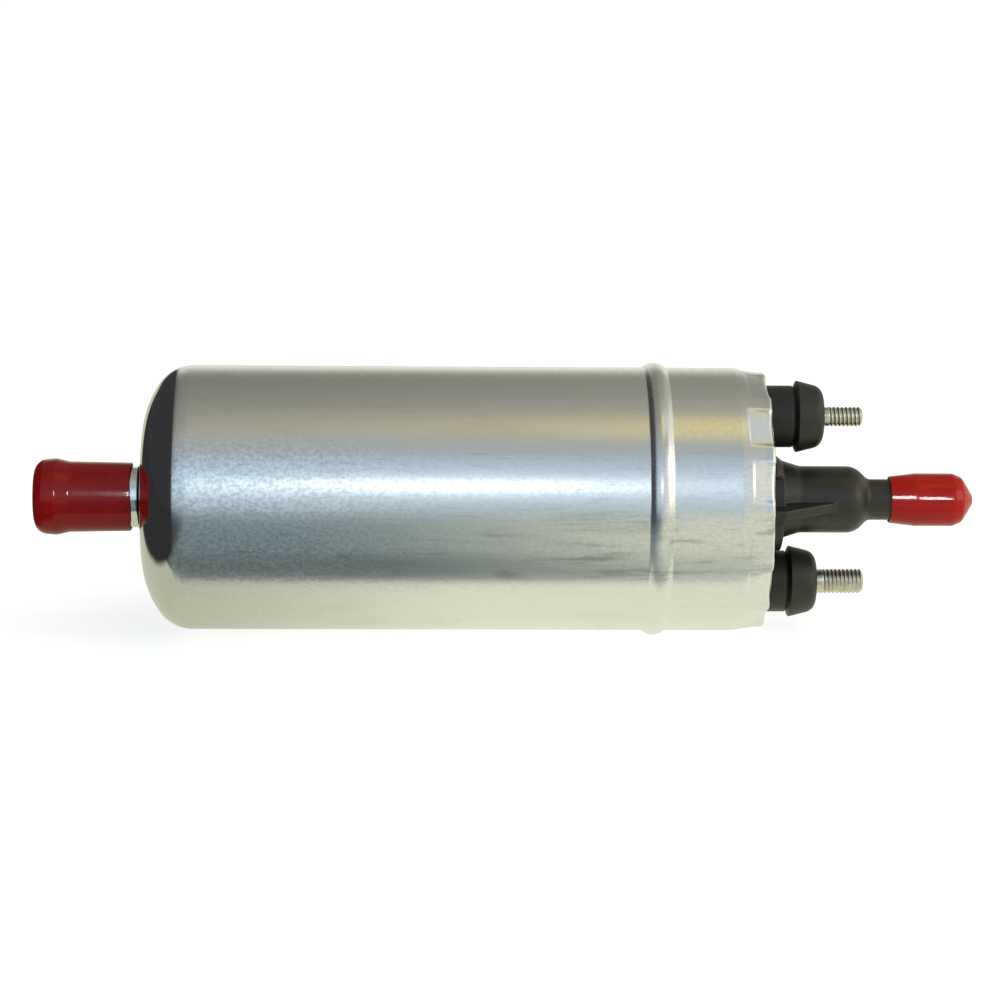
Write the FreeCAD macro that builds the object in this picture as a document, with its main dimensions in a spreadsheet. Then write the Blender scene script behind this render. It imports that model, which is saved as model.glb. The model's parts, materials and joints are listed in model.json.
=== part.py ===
import FreeCAD, Part

# Inline electric fuel pump for a car: an aluminium can that holds a gear pump section and a
# permanent magnet motor, closed by a moulded connection cover with a check valve.
# The pump axis is X, with the suction side at -X and the outlet at +X. The terminals stand
# one above the other in the XZ plane. The origin is on the axis, in the middle of the plain
# part of the can, where a band clamp holds the pump.

import math
import os

import Sketcher
from FreeCAD import Placement, Rotation, Vector

# Lengths in millimetres and angles in degrees. A station is a distance along the axis from
# the flat face of the can's dome.
SIZES = {
    # can
    "can_radius": 26.0,
    "can_wall": 1.5,
    "can_length": 122.4,
    "clamp_station": 54.0,
    "dome_corner_depth": 5.75,
    "dome_slope": 55.0,
    "dome_edge_rounding": 8.0,
    "dome_straight": 0.2,
    "bead_offset": 0.5,
    "bead_half_width": 2.3,
    "bead_corner_height": 1.56,
    "bead_rounding": 3.0,
    "crimp_length": 5.8,
    "crimp_taper": 1.5,
    "crimp_inset": 0.65,
    "crimp_lip_wall": 1.4,
    "crimp_lip_gap": 0.2,
    "crimp_edge_chamfer": 0.7,
    "crimp_flat_count": 16,
    "crimp_flat_length": 3.4,
    "crimp_flat_step": 0.2,
    "crimp_flat_depth": 0.46,
    # clearances
    "seat_gap": 0.05,
    "press_gap": 0.01,
    "running_gap": 0.03,
    "slide_gap": 0.05,
    "cap_gap": 0.1,
    "section_gap": 0.1,
    "magnet_gap": 0.1,
    "air_gap": 0.5,
    "bearing_gap": 0.12,
    # suction tube
    "spigot_radius": 6.0,
    "spigot_wall": 1.5,
    "spigot_length": 20.3,
    "spigot_flange_rim": 2.5,
    "spigot_flange_thickness": 1.5,
    "spigot_collar_rim": 1.2,
    "spigot_collar_thickness": 0.9,
    "spigot_barb_height": 0.4,
    "spigot_barb_length": 4.0,
    "spigot_barb_station": 14.0,
    "spigot_tip_inset": 0.8,
    "strainer_radius": 16.0,
    "strainer_end_radius": 10.5,
    "strainer_depth": 5.0,
    "strainer_wall": 0.5,
    "strainer_rim": 1.2,
    # pump section
    "intake_thickness": 4.0,
    "gear_width": 7.0,
    "discharge_thickness": 5.0,
    "lobe_count": 7,
    "outer_rotor_inset": 7.05,
    "lobe_gap": 4.65,
    "gear_offset": 1.3,
    "mesh_gap": 0.08,
    "outer_rotor_wall": 0.8,
    "port_inner_inset": 5.3,
    "port_outer_inset": 1.6,
    "port_angle": 110.0,
    "screw_count": 2,
    "screw_inset": 3.85,
    "screw_radius": 1.5,
    "screw_head_radius": 2.3,
    "screw_head_height": 1.8,
    "relief_inset": 4.05,
    "relief_bore_radius": 2.1,
    "relief_ball_radius": 2.0,
    "relief_seat_radius": 1.4,
    "relief_seat_depth": 2.5,
    "relief_vent_radius": 1.2,
    "relief_spring_inner": 1.3,
    "relief_spring_outer": 1.9,
    # motor
    "motor_tube_wall": 2.15,
    "magnet_front_margin": 10.0,
    "magnet_rear_margin": 14.0,
    "magnet_thickness": 5.9,
    "magnet_angle": 140.0,
    "clip_thickness": 0.8,
    "clip_angle": 36.0,
    "shaft_radius": 2.5,
    "shaft_tip_inset": 1.0,
    "shaft_flat_depth": 0.6,
    "stack_inset": 5.0,
    "slot_count": 8,
    "slot_mouth_half": 0.9,
    "slot_lip": 1.1,
    "slot_floor_radius": 7.0,
    "slot_floor_half": 1.3,
    "slot_roof_half": 4.0,
    "insulator_thickness": 1.0,
    "winding_gap": 0.15,
    "end_turn_length": 5.0,
    "end_turn_inset": 2.2,
    "end_turn_gap": 0.4,
    "bushing_wall": 2.0,
    "front_bushing_length": 7.0,
    "rear_bushing_length": 9.0,
    "spacer_wall": 1.1,
    "washer_rim": 1.7,
    "washer_thickness": 0.5,
    "commutator_setback": 12.0,
    "commutator_length": 9.0,
    "commutator_radius": 8.0,
    "commutator_bar_depth": 1.8,
    "commutator_bar_count": 8,
    "commutator_slot_angle": 4.0,
    "commutator_hub_length": 11.0,
    # brushes and their carrier
    "carrier_thickness": 6.0,
    "carrier_boss_radius": 7.0,
    "carrier_boss_length": 3.0,
    "carrier_arm_offset": 0.8,
    "carrier_arm_half": 4.1,
    "carrier_arm_gap": 1.5,
    "carrier_flow_count": 4,
    "carrier_flow_radius": 1.4,
    "carrier_flow_circle": 8.7,
    "brush_half_width": 2.5,
    "brush_length": 6.0,
    "brush_offset": 1.8,
    "brush_spring_length": 5.7,
    "brush_spring_outer": 2.1,
    "brush_spring_inner": 1.6,
    # connection cover
    "cover_length": 22.4,
    "cover_skirt_wall": 3.55,
    "cover_cavity_depth": 10.0,
    "cover_recess_radius": 10.5,
    "cover_recess_depth": 1.5,
    "cover_hub_inset": 1.4,
    "cover_hub_height": 0.9,
    "seal_offset": 4.2,
    "seal_width": 2.2,
    "seal_depth": 1.6,
    "seal_chamfer": 0.5,
    "nozzle_foot_inset": 1.0,
    "nozzle_foot_height": 2.5,
    "nozzle_foot_slope": 1.3,
    "nozzle_foot_neck": 7.6,
    "nozzle_foot_flare": 3.8,
    "nozzle_radius": 6.6,
    "nozzle_shoulder_height": 18.2,
    "nozzle_shoulder_rounding": 4.1,
    "nozzle_neck_rounding": 1.6,
    "nozzle_neck_radius": 4.05,
    "nozzle_barb_height": 0.3,
    "nozzle_barb_length": 5.0,
    "nozzle_tip_inset": 0.7,
    "nozzle_height": 38.1,
    "nozzle_bore": 2.6,
    "valve_bore": 4.8,
    "valve_shoulder_wall": 1.2,
    "collar_gap": 0.25,
    "collar_height": 3.9,
    "collar_flat": 6.0,
    "gusset_foot": 14.0,
    "gusset_foot_height": 3.6,
    "gusset_setback": 4.0,
    "gusset_half": 0.95,
    # check valve
    "valve_seat_offset": 21.0,
    "valve_seat_length": 3.0,
    "valve_seat_bore": 2.2,
    "poppet_flow_gap": 0.9,
    "poppet_head": 2.4,
    "poppet_stem_radius": 1.8,
    "poppet_stem_length": 4.0,
    "poppet_nose": 1.6,
    "poppet_nose_gap": 0.5,
    "valve_spring_inner": 2.9,
    "valve_spring_outer": 3.7,
    # terminals
    "terminal_inset": 5.6,
    "post_radius": 4.75,
    "post_gap": 0.2,
    "stud_pocket_radius": 5.2,
    "stud_pocket_depth": 3.6,
    "stud_head_radius": 3.7,
    "stud_head_height": 2.6,
    "stud_plus_radius": 2.5,
    "stud_plus_reach": 8.7,
    "stud_minus_radius": 2.0,
    "stud_minus_reach": 7.4,
    "stud_tip_chamfer": 0.5,
    "stud_relief_length": 0.8,
    "stud_relief_depth": 0.35,
    "stud_hole_gap": 0.1,
    "stud_seal_radius": 3.9,
    "stud_seal_width": 1.6,
    "strip_thickness": 0.6,
    "strip_half_width": 3.4,
    "strip_eye_reach": 3.6,
    "strip_inset": 0.2,
    "strip_slot_gap": 0.3,
    # rubber boots
    "boot_wall": 1.5,
    "boot_flange_rim": 0.75,
    "boot_flange_start": 5.2,
    "boot_flange_crest": 6.0,
    "boot_taper_end": 10.1,
    "boot_length": 11.6,
    "boot_end_inset": 0.25,
    "boot_end_rounding": 1.6,
    "boot_roof": 2.9,
    # vinyl caps
    "inlet_cap_end_gap": 0.2,
    "inlet_cap_rim": 2.1,
    "inlet_cap_wall": 0.65,
    "inlet_cap_sleeve_end": 14.6,
    "inlet_cap_bulge_height": 0.5,
    "inlet_cap_bulge_station": 17.0,
    "inlet_cap_end_rounding": 2.6,
    "inlet_cap_roof": 1.0,
    "outlet_cap_grip": 13.0,
    "outlet_cap_rim_wall": 0.25,
    "outlet_cap_swell": 0.6,
    "outlet_cap_taper_length": 5.1,
    "outlet_cap_shoulder_reach": 1.4,
    "outlet_cap_shoulder_rounding": 1.8,
    "outlet_cap_cone_inset": 1.05,
    "outlet_cap_tip_reach": 3.6,
    "outlet_cap_tip_radius": 1.5,
    "outlet_cap_roof": 0.4,
}

# Arcs that draw one tooth of the inner rotor, and how far they crowd into its valleys.
ARCS_PER_TOOTH = 8
VALLEY_CROWDING = 0.85


class Size:
    """A number together with its formula over the cells of the sheet."""

    def __init__(self, value, formula):
        self.value = float(value)
        self.formula = formula

    def __add__(self, other):
        other = as_size(other)
        return Size(self.value + other.value, f"({self.formula} + {other.formula})")

    def __sub__(self, other):
        other = as_size(other)
        return Size(self.value - other.value, f"({self.formula} - {other.formula})")

    def __mul__(self, other):
        other = as_size(other)
        return Size(self.value * other.value, f"({self.formula} * {other.formula})")

    def __truediv__(self, other):
        other = as_size(other)
        return Size(self.value / other.value, f"({self.formula} / {other.formula})")

    def __neg__(self):
        return Size(-self.value, f"(0 - {self.formula})")

    def __rsub__(self, other):
        return as_size(other) - self

    def __rtruediv__(self, other):
        return as_size(other) / self

    __radd__ = __add__
    __rmul__ = __mul__


def as_size(number):
    return number if isinstance(number, Size) else Size(number, repr(number))


def tangent(angle):
    return Size(math.tan(math.radians(angle.value)), f"tan({angle.formula})")


def cosine(angle):
    return Size(math.cos(math.radians(angle.value)), f"cos({angle.formula})")


def sine(angle):
    return Size(math.sin(math.radians(angle.value)), f"sin({angle.formula})")


def square_root(size):
    return Size(math.sqrt(size.value), f"sqrt({size.formula})")


class Sheet:
    """Spreadsheet of the driving sizes, each of which is an attribute here."""

    def __init__(self, sizes):
        self.cells = document.addObject("Spreadsheet::Sheet", "Sizes")
        for row, (name, value) in enumerate(sizes.items(), start=1):
            self.cells.set(f"A{row}", name)
            self.cells.set(f"B{row}", str(value))
            self.cells.setAlias(f"B{row}", name)
            setattr(self, name, Size(value, "Sizes." + name))


document = FreeCAD.newDocument("FuelPump")
s = Sheet(SIZES)
document.recompute()

# What fits in, seats on or lines up with another piece follows from that piece's sizes.
s.section_radius = s.can_radius - s.can_wall - s.seat_gap
s.crimp_neck_radius = s.can_radius - s.crimp_inset
s.cover_neck_radius = s.crimp_neck_radius - s.can_wall - s.seat_gap
s.cover_hub_radius = s.cover_neck_radius - s.cover_hub_inset
s.crimp_lip_radius = s.cover_hub_radius + s.crimp_lip_gap
s.cover_cavity_radius = s.section_radius - s.cover_skirt_wall

s.spigot_bore = s.spigot_radius - s.spigot_wall
s.spigot_barb_radius = s.spigot_radius + s.spigot_barb_height
s.nozzle_barb_radius = s.nozzle_neck_radius + s.nozzle_barb_height

s.dome_end = s.dome_corner_depth + s.dome_edge_rounding * tangent(s.dome_slope / 2)
s.section_station = s.dome_end + s.section_gap
s.gear_station = s.section_station + s.intake_thickness
s.discharge_station = s.gear_station + s.gear_width
s.section_end = s.discharge_station + s.discharge_thickness
s.outer_rotor_radius = s.section_radius - s.outer_rotor_inset
s.lobe_half_pitch = sine(180 / s.lobe_count)
s.lobe_circle = (s.outer_rotor_radius - s.outer_rotor_wall + s.lobe_gap / 2) / (1 + s.lobe_half_pitch)
s.lobe_radius = s.lobe_circle * s.lobe_half_pitch - s.lobe_gap / 2
s.port_inner_radius = s.lobe_circle - s.port_inner_inset
s.port_outer_radius = s.lobe_circle - s.port_outer_inset
s.screw_circle = s.section_radius - s.screw_inset
s.relief_circle = s.section_radius - s.relief_inset

s.cover_station = s.can_length - s.cover_length
s.cover_floor = s.cover_station + s.cover_cavity_depth
s.bead_station = s.cover_station + s.bead_offset
s.seal_station = s.cover_station + s.seal_offset

s.motor_tube_inner = s.section_radius - s.motor_tube_wall
s.magnet_outer = s.motor_tube_inner - s.magnet_gap
s.magnet_inner = s.magnet_outer - s.magnet_thickness
s.magnet_station = s.section_end + s.magnet_front_margin
s.magnet_length = s.cover_station - s.magnet_rear_margin - s.magnet_station
s.stack_radius = s.magnet_inner - s.air_gap
s.stack_station = s.magnet_station + s.stack_inset
s.stack_length = s.magnet_length - s.stack_inset * 2
s.shaft_station = s.section_station + s.shaft_tip_inset
s.shaft_flat_half = s.shaft_radius - s.shaft_flat_depth
s.bushing_radius = s.shaft_radius + s.bushing_wall
s.spacer_radius = s.shaft_radius + s.spacer_wall
s.washer_radius = s.shaft_radius + s.washer_rim
s.end_turn_outer = s.stack_radius - s.end_turn_inset
s.end_turn_inner = s.spacer_radius + s.end_turn_gap
s.commutator_station = s.cover_station - s.commutator_setback
s.carrier_arm_station = s.commutator_station + s.carrier_arm_offset
s.carrier_arm_inner = s.commutator_radius + s.carrier_arm_gap
s.brush_station = s.commutator_station + s.brush_offset
s.strip_inner = s.cover_cavity_radius - s.strip_inset
s.brush_outer = s.strip_inner - s.brush_spring_length

s.terminal_offset = s.cover_hub_radius - s.terminal_inset
s.boot_bore = s.post_radius + s.cap_gap
s.boot_radius = s.boot_bore + s.boot_wall
s.boot_flange_radius = s.boot_radius + s.boot_flange_rim
s.boot_end_radius = s.boot_radius - s.boot_end_inset
s.boot_station = s.can_length + s.cap_gap
s.boot_end = s.boot_station + s.boot_length
s.post_station = s.boot_end - s.boot_roof - s.post_gap
s.stud_plus_station = s.boot_end + s.stud_plus_reach
s.stud_minus_station = s.boot_end + s.stud_minus_reach

s.collar_radius = s.terminal_offset - s.boot_radius - s.collar_gap
s.nozzle_foot_radius = s.collar_radius - s.nozzle_foot_inset
s.nozzle_shoulder_station = s.can_length + s.nozzle_shoulder_height
s.nozzle_station = s.can_length + s.nozzle_height
s.gusset_station = s.nozzle_shoulder_station - s.gusset_setback
s.valve_seat_station = s.cover_station + s.valve_seat_offset
s.valve_shoulder_station = s.nozzle_shoulder_station - s.valve_shoulder_wall
s.poppet_radius = s.valve_bore - s.poppet_flow_gap
s.poppet_nose_radius = s.valve_seat_bore - s.poppet_nose_gap

s.inlet_cap_bore = s.spigot_barb_radius + s.slide_gap
s.inlet_cap_radius = s.inlet_cap_bore + s.inlet_cap_wall
s.inlet_cap_bulge = s.inlet_cap_radius + s.inlet_cap_bulge_height
s.inlet_cap_end = s.spigot_length + s.inlet_cap_end_gap + s.inlet_cap_roof
s.outlet_cap_bore = s.nozzle_barb_radius + s.slide_gap
s.outlet_cap_rim_radius = s.outlet_cap_bore + s.outlet_cap_rim_wall
s.outlet_cap_radius = s.outlet_cap_rim_radius + s.outlet_cap_swell
s.outlet_cap_cone_radius = s.outlet_cap_radius - s.outlet_cap_cone_inset
s.outlet_cap_rim = s.nozzle_station - s.outlet_cap_grip
pieces = []


def new_body(name):
    body = document.addObject("PartDesign::Body", name)
    body.Label = name
    pieces.append(body)
    return body


def origin_feature(body, role):
    return next(item for item in body.Origin.OriginFeatures if item.Role == role)


def put(piece, station, y=None, z=None, turn=0):
    """Turn a piece about its own X axis, then move its origin to a station on the axis."""
    piece.Placement = Placement(Vector(), Rotation(Vector(1, 0, 0), turn))
    piece.setExpression("Placement.Base.x", (station - s.clamp_station).formula)
    if y is not None:
        piece.setExpression("Placement.Base.y", as_size(y).formula)
    if z is not None:
        piece.setExpression("Placement.Base.z", as_size(z).formula)


def new_sketch(body, name, plane, offset):
    sketch = body.newObject("Sketcher::SketchObject", f"{body.Name}_{name}")
    sketch.AttachmentSupport = [(origin_feature(body, plane), "")]
    sketch.MapMode = "FlatFace"
    if offset is not None:
        sketch.setExpression("AttachmentOffset.Base.z", as_size(offset).formula)
    return sketch


def fix_point(sketch, geometry, end, across, up):
    """Hold a point of a sketch at two sizes from the sketch's origin."""
    for kind, size in (("DistanceX", across), ("DistanceY", up)):
        if size.formula in ("0", "0.0"):
            axis = -2 if kind == "DistanceX" else -1
            sketch.addConstraint(Sketcher.Constraint("PointOnObject", geometry, end, axis))
            continue
        index = sketch.addConstraint(Sketcher.Constraint(kind, -1, 1, geometry, end, size.value))
        sketch.setExpression(f"Constraints[{index}]", size.formula)


def rounded_corner(before, corner, after, radius):
    """Start, end, centre and turning sense of the arc that rounds a corner."""
    back = (before - corner).normalize()
    ahead = (after - corner).normalize()
    half = back.getAngle(ahead) / 2
    reach = radius / math.tan(half)
    centre = corner + (back + ahead).normalize() * (radius / math.sin(half))
    turns_left = back.cross(ahead).z < 0
    return corner + back * reach, corner + ahead * reach, centre, turns_left


def outline(body, name, plane, corners, offset=None):
    """Sketch a closed outline from corners (across, up) or (across, up, rounding)."""
    sketch = new_sketch(body, name, plane, offset)
    corners = [tuple(as_size(size) for size in corner) for corner in corners]
    points = [Vector(corner[0].value, corner[1].value, 0) for corner in corners]
    starts = []
    ends = []
    arcs = {}
    for index, corner in enumerate(corners):
        before = points[index - 1]
        after = points[(index + 1) % len(points)]
        if len(corner) == 3:
            arrive, leave, centre, left = rounded_corner(before, points[index], after, corner[2].value)
            arcs[index] = (arrive, leave, centre, left)
            ends.append(arrive)
            starts.append(leave)
        else:
            ends.append(points[index])
            starts.append(points[index])
    count = len(corners)
    lines = [Part.LineSegment(starts[i], ends[(i + 1) % count]) for i in range(count)]
    sketch.addGeometry(lines, False)
    for index, corner in enumerate(corners):
        previous = (index - 1) % count
        if index not in arcs:
            sketch.addConstraint(Sketcher.Constraint("Coincident", previous, 2, index, 1))
            fix_point(sketch, index, 1, corner[0], corner[1])
            continue
        arrive, leave, centre, left = arcs[index]
        first, last = (arrive, leave) if left else (leave, arrive)
        circle = Part.Circle(centre, Vector(0, 0, 1), corner[2].value)
        arc = sketch.addGeometry(
            Part.ArcOfCircle(circle, circle.parameter(first), circle.parameter(last)), False)
        point = sketch.addGeometry(Part.Point(points[index]), True)
        arrive_end, leave_end = (1, 2) if left else (2, 1)
        sketch.addConstraint([
            Sketcher.Constraint("Tangent", previous, 2, arc, arrive_end),
            Sketcher.Constraint("Tangent", arc, leave_end, index, 1),
            Sketcher.Constraint("PointOnObject", point, 1, previous),
            Sketcher.Constraint("PointOnObject", point, 1, index),
        ])
        fix_point(sketch, point, 1, corner[0], corner[1])
        radius = sketch.addConstraint(Sketcher.Constraint("Radius", arc, corner[2].value))
        sketch.setExpression(f"Constraints[{radius}]", corner[2].formula)
    return sketch


def circles(body, name, plane, rings, offset=None):
    """Sketch circles from (across, up, radius)."""
    sketch = new_sketch(body, name, plane, offset)
    for across, up, radius in rings:
        across, up, radius = as_size(across), as_size(up), as_size(radius)
        circle = Part.Circle(Vector(across.value, up.value, 0), Vector(0, 0, 1), radius.value)
        index = sketch.addGeometry(circle, False)
        fix_point(sketch, index, 3, across, up)
        constraint = sketch.addConstraint(Sketcher.Constraint("Radius", index, radius.value))
        sketch.setExpression(f"Constraints[{constraint}]", radius.formula)
    return sketch


def turned(body, kind, sketch, angle=360, midplane=False):
    """Revolution or Groove of a sketch about the X axis."""
    feature = body.newObject(f"PartDesign::{kind}", f"{sketch.Name}_{kind}")
    feature.Profile = sketch
    feature.ReferenceAxis = (sketch, ["H_Axis"])
    feature.Midplane = midplane
    if isinstance(angle, Size):
        feature.setExpression("Angle", angle.formula)
    else:
        feature.Angle = angle
    return feature


def revolve(body, sketch, **options):
    return turned(body, "Revolution", sketch, **options)


def groove(body, sketch, **options):
    return turned(body, "Groove", sketch, **options)


def extruded(body, kind, sketch, length, midplane=False, against=False):
    feature = body.newObject(f"PartDesign::{kind}", f"{sketch.Name}_{kind}")
    feature.Profile = sketch
    feature.Midplane = midplane
    feature.Reversed = against
    feature.setExpression("Length", as_size(length).formula)
    return feature


def pad(body, sketch, length, **options):
    return extruded(body, "Pad", sketch, length, **options)


def pocket(body, sketch, length, **options):
    """Cut towards +X from a sketch on the YZ plane unless the options say otherwise."""
    options.setdefault("against", True)
    return extruded(body, "Pocket", sketch, length, **options)


def around(body, features, count, role="X_Axis"):
    """Repeat features about an axis of the body's origin."""
    pattern = body.newObject("PartDesign::PolarPattern", f"{features[0].Name}_around")
    pattern.Originals = features
    pattern.Axis = (origin_feature(body, role), [""])
    pattern.Angle = 360
    pattern.setExpression("Occurrences", as_size(count).formula)
    body.Tip = pattern
    return pattern


def ring_section(start, end, inner, outer):
    """Corners of a rectangle between two stations and two radii."""
    return [(start, inner), (end, inner), (end, outer), (start, outer)]


def ring(name, length, inner, outer):
    """Plain ring or sleeve with its origin at its left face."""
    body = new_body(name)
    revolve(body, outline(body, "section", "XY_Plane", ring_section(0, length, inner, outer)))
    return body


def build_can():
    body = new_body("pump_can")
    crimp = s.can_length - s.crimp_length
    neck = s.crimp_neck_radius
    corner_radius = s.can_radius - s.dome_corner_depth * tangent(s.dome_slope)
    lip = s.can_length - s.crimp_lip_wall
    face_turn = tangent((90 - s.dome_slope) / 2)
    edge_turn = tangent(s.dome_slope / 2)
    slope_length = s.dome_corner_depth / cosine(s.dome_slope)
    face_rounding = (slope_length - s.dome_edge_rounding * edge_turn - s.dome_straight) / face_turn
    inner = s.can_radius - s.can_wall
    bead_start = s.bead_station - s.bead_half_width
    bead_end = s.bead_station + s.bead_half_width
    section = outline(body, "section", "XY_Plane", [
        (0, s.spigot_radius + s.press_gap),
        (0, corner_radius, face_rounding),
        (s.dome_corner_depth, s.can_radius, s.dome_edge_rounding),
        (bead_start, s.can_radius),
        (s.bead_station, s.can_radius + s.bead_corner_height, s.bead_rounding),
        (bead_end, s.can_radius),
        (crimp, s.can_radius),
        (crimp + s.crimp_taper, neck),
        (s.can_length - s.crimp_edge_chamfer, neck),
        (s.can_length, neck - s.crimp_edge_chamfer),
        (s.can_length, s.crimp_lip_radius),
        (lip, s.crimp_lip_radius),
        (lip, neck - s.can_wall),
        (crimp + s.crimp_taper, neck - s.can_wall),
        (crimp, inner),
        (s.dome_corner_depth + s.can_wall * edge_turn, inner, s.dome_edge_rounding - s.can_wall),
        (s.can_wall, corner_radius - s.can_wall * face_turn, face_rounding - s.can_wall),
        (s.can_wall, s.spigot_radius + s.press_gap),
    ])
    revolve(body, section)
    flat = outline(body, "crimp_flat", "XY_Plane", [
        (s.can_length - s.crimp_flat_length, neck - s.crimp_flat_step),
        (s.can_length, neck - s.crimp_flat_depth),
        (s.can_length, s.can_radius * 2),
        (s.can_length - s.crimp_flat_length, s.can_radius * 2),
    ])
    around(body, [pocket(body, flat, s.can_radius, midplane=True)], s.crimp_flat_count)
    put(body, as_size(0))


def build_spigot():
    body = new_body("inlet_spigot")
    barb = s.spigot_barb_radius
    section = outline(body, "section", "XY_Plane", [
        (s.can_wall + s.spigot_flange_thickness, s.spigot_bore),
        (s.can_wall + s.spigot_flange_thickness, s.spigot_radius + s.spigot_flange_rim),
        (s.can_wall, s.spigot_radius + s.spigot_flange_rim),
        (s.can_wall, s.spigot_radius),
        (0, s.spigot_radius),
        (0, s.spigot_radius + s.spigot_collar_rim),
        (-s.spigot_collar_thickness, s.spigot_radius),
        (-s.spigot_barb_station, s.spigot_radius),
        (-s.spigot_barb_station, barb),
        (-s.spigot_barb_station - s.spigot_barb_length, s.spigot_radius),
        (-s.spigot_length + s.spigot_tip_inset, s.spigot_radius),
        (-s.spigot_length, s.spigot_radius - s.spigot_tip_inset),
        (-s.spigot_length, s.spigot_bore),
    ])
    revolve(body, section)
    put(body, as_size(0))


def build_strainer():
    body = new_body("inlet_strainer")
    rim_end = s.strainer_radius - s.strainer_wall
    section = outline(body, "section", "XY_Plane", [
        (0, s.strainer_radius),
        (0, s.strainer_radius - s.strainer_rim - s.strainer_wall),
        (-s.strainer_wall, s.strainer_radius - s.strainer_rim - s.strainer_wall),
        (s.strainer_wall - s.strainer_depth, s.strainer_end_radius - s.strainer_wall),
        (s.strainer_wall - s.strainer_depth, 0),
        (-s.strainer_depth, 0),
        (-s.strainer_depth, s.strainer_end_radius),
        (-s.strainer_wall, rim_end),
        (-s.strainer_wall, s.strainer_radius),
    ])
    revolve(body, section)
    put(body, s.section_station)


def kidney(body, name, plane, start, end):
    """Arc-shaped port through a plate, half way round towards the plane's own side."""
    section = outline(body, name, plane, ring_section(
        start, end, s.port_inner_radius, s.port_outer_radius))
    return groove(body, section, angle=s.port_angle, midplane=True)


def screw_holes(body, start, depth):
    holes = circles(body, "screw_holes", "YZ_Plane", [
        (0, s.screw_circle, s.screw_radius + s.press_gap),
        (0, -s.screw_circle, s.screw_radius + s.press_gap),
    ], offset=start)
    pocket(body, holes, depth)


def build_intake_cover():
    body = new_body("intake_cover")
    shaft_pocket = s.gear_station - s.shaft_station + s.seat_gap
    revolve(body, outline(body, "section", "XY_Plane", [
        (0, 0),
        (s.intake_thickness - shaft_pocket, 0),
        (s.intake_thickness - shaft_pocket, s.shaft_radius + s.running_gap),
        (s.intake_thickness, s.shaft_radius + s.running_gap),
        (s.intake_thickness, s.section_radius),
        (0, s.section_radius),
    ]))
    kidney(body, "suction_port", "XZ_Plane", -s.intake_thickness, s.intake_thickness * 2)
    screw_holes(body, as_size(0), s.intake_thickness)
    heads = circles(body, "screw_heads", "YZ_Plane", [
        (0, s.screw_circle, s.screw_head_radius + s.seat_gap),
        (0, -s.screw_circle, s.screw_head_radius + s.seat_gap),
    ])
    pocket(body, heads, s.screw_head_height + s.seat_gap)
    vent = circles(body, "relief_vent", "YZ_Plane", [
        (s.relief_circle, 0, s.relief_vent_radius)])
    pocket(body, vent, s.intake_thickness)
    put(body, s.section_station)


def build_gear_ring():
    body = new_body("gear_ring")
    pad(body, circles(body, "plate", "YZ_Plane", [
        (0, 0, s.section_radius),
        (-s.gear_offset, 0, s.outer_rotor_radius + s.running_gap),
        (s.relief_circle, 0, s.relief_bore_radius),
        (0, s.screw_circle, s.screw_radius + s.press_gap),
        (0, -s.screw_circle, s.screw_radius + s.press_gap),
    ]), s.gear_width)
    put(body, s.gear_station)


def build_outer_rotor():
    body = new_body("outer_rotor")
    root = s.lobe_circle - s.lobe_radius + s.gear_offset * 2 + s.mesh_gap
    width = s.gear_width - s.running_gap * 2
    pad(body, circles(body, "rim", "YZ_Plane", [
        (0, 0, s.outer_rotor_radius),
        (0, 0, root),
    ]), width)
    lobe = pad(body, circles(body, "lobe", "YZ_Plane", [(s.lobe_circle, 0, s.lobe_radius)]), width)
    around(body, [lobe], s.lobe_count)
    put(body, s.gear_station + s.running_gap, y=-s.gear_offset)


def rotor_point(lobes, circle, radius, offset, turn):
    """Point of the curve that rolls inside a ring of round lobes, one tooth fewer than the ring."""
    teeth = lobes - 1
    lean = math.atan2(
        -math.sin(teeth * turn), circle / (offset * lobes) - math.cos(teeth * turn))
    y = circle * math.cos(turn) - radius * math.cos(turn + lean) - offset * math.cos(lobes * turn)
    z = radius * math.sin(turn + lean) - circle * math.sin(turn) + offset * math.sin(lobes * turn)
    return Vector(0, y, z)


def rotor_outline(lobes, circle, radius, offset):
    """Closed wire of short arcs through the rotor's curve, closer together in its valleys."""
    teeth = lobes - 1
    point_count = 2 * ARCS_PER_TOOTH * teeth
    points = []
    for step in range(point_count):
        even = 2 * math.pi * step / point_count
        turn = even - VALLEY_CROWDING * math.sin(teeth * even) / teeth
        points.append(rotor_point(lobes, circle, radius, offset, turn))
    arcs = []
    for first in range(0, point_count, 2):
        last = (first + 2) % point_count
        arcs.append(Part.Arc(points[first], points[first + 1], points[last]).toShape())
    return Part.Wire(arcs)


def build_inner_rotor():
    """Rotor with a double flat bore; its teeth follow from the lobes of the outer rotor."""
    cell = s.cells.get
    lobes = int(cell("lobe_count"))
    edge = rotor_outline(
        lobes, s.lobe_circle.value, s.lobe_radius.value + cell("mesh_gap"), cell("gear_offset"))
    width = cell("gear_width") - 2 * cell("running_gap")
    solid = Part.Face(edge).extrude(Vector(width, 0, 0))
    bore = Part.makeCylinder(
        cell("shaft_radius") + cell("press_gap"), width, Vector(), Vector(1, 0, 0))
    flat = cell("shaft_radius") - cell("shaft_flat_depth") + cell("press_gap")
    slab = Part.makeBox(width, 4 * flat, 2 * flat, Vector(0, -2 * flat, -flat))
    rotor = document.addObject("Part::Feature", "inner_rotor")
    rotor.Label = "inner_rotor"
    rotor.Shape = solid.cut(bore.common(slab))
    pieces.append(rotor)
    put(rotor, s.gear_station + s.running_gap)


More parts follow.
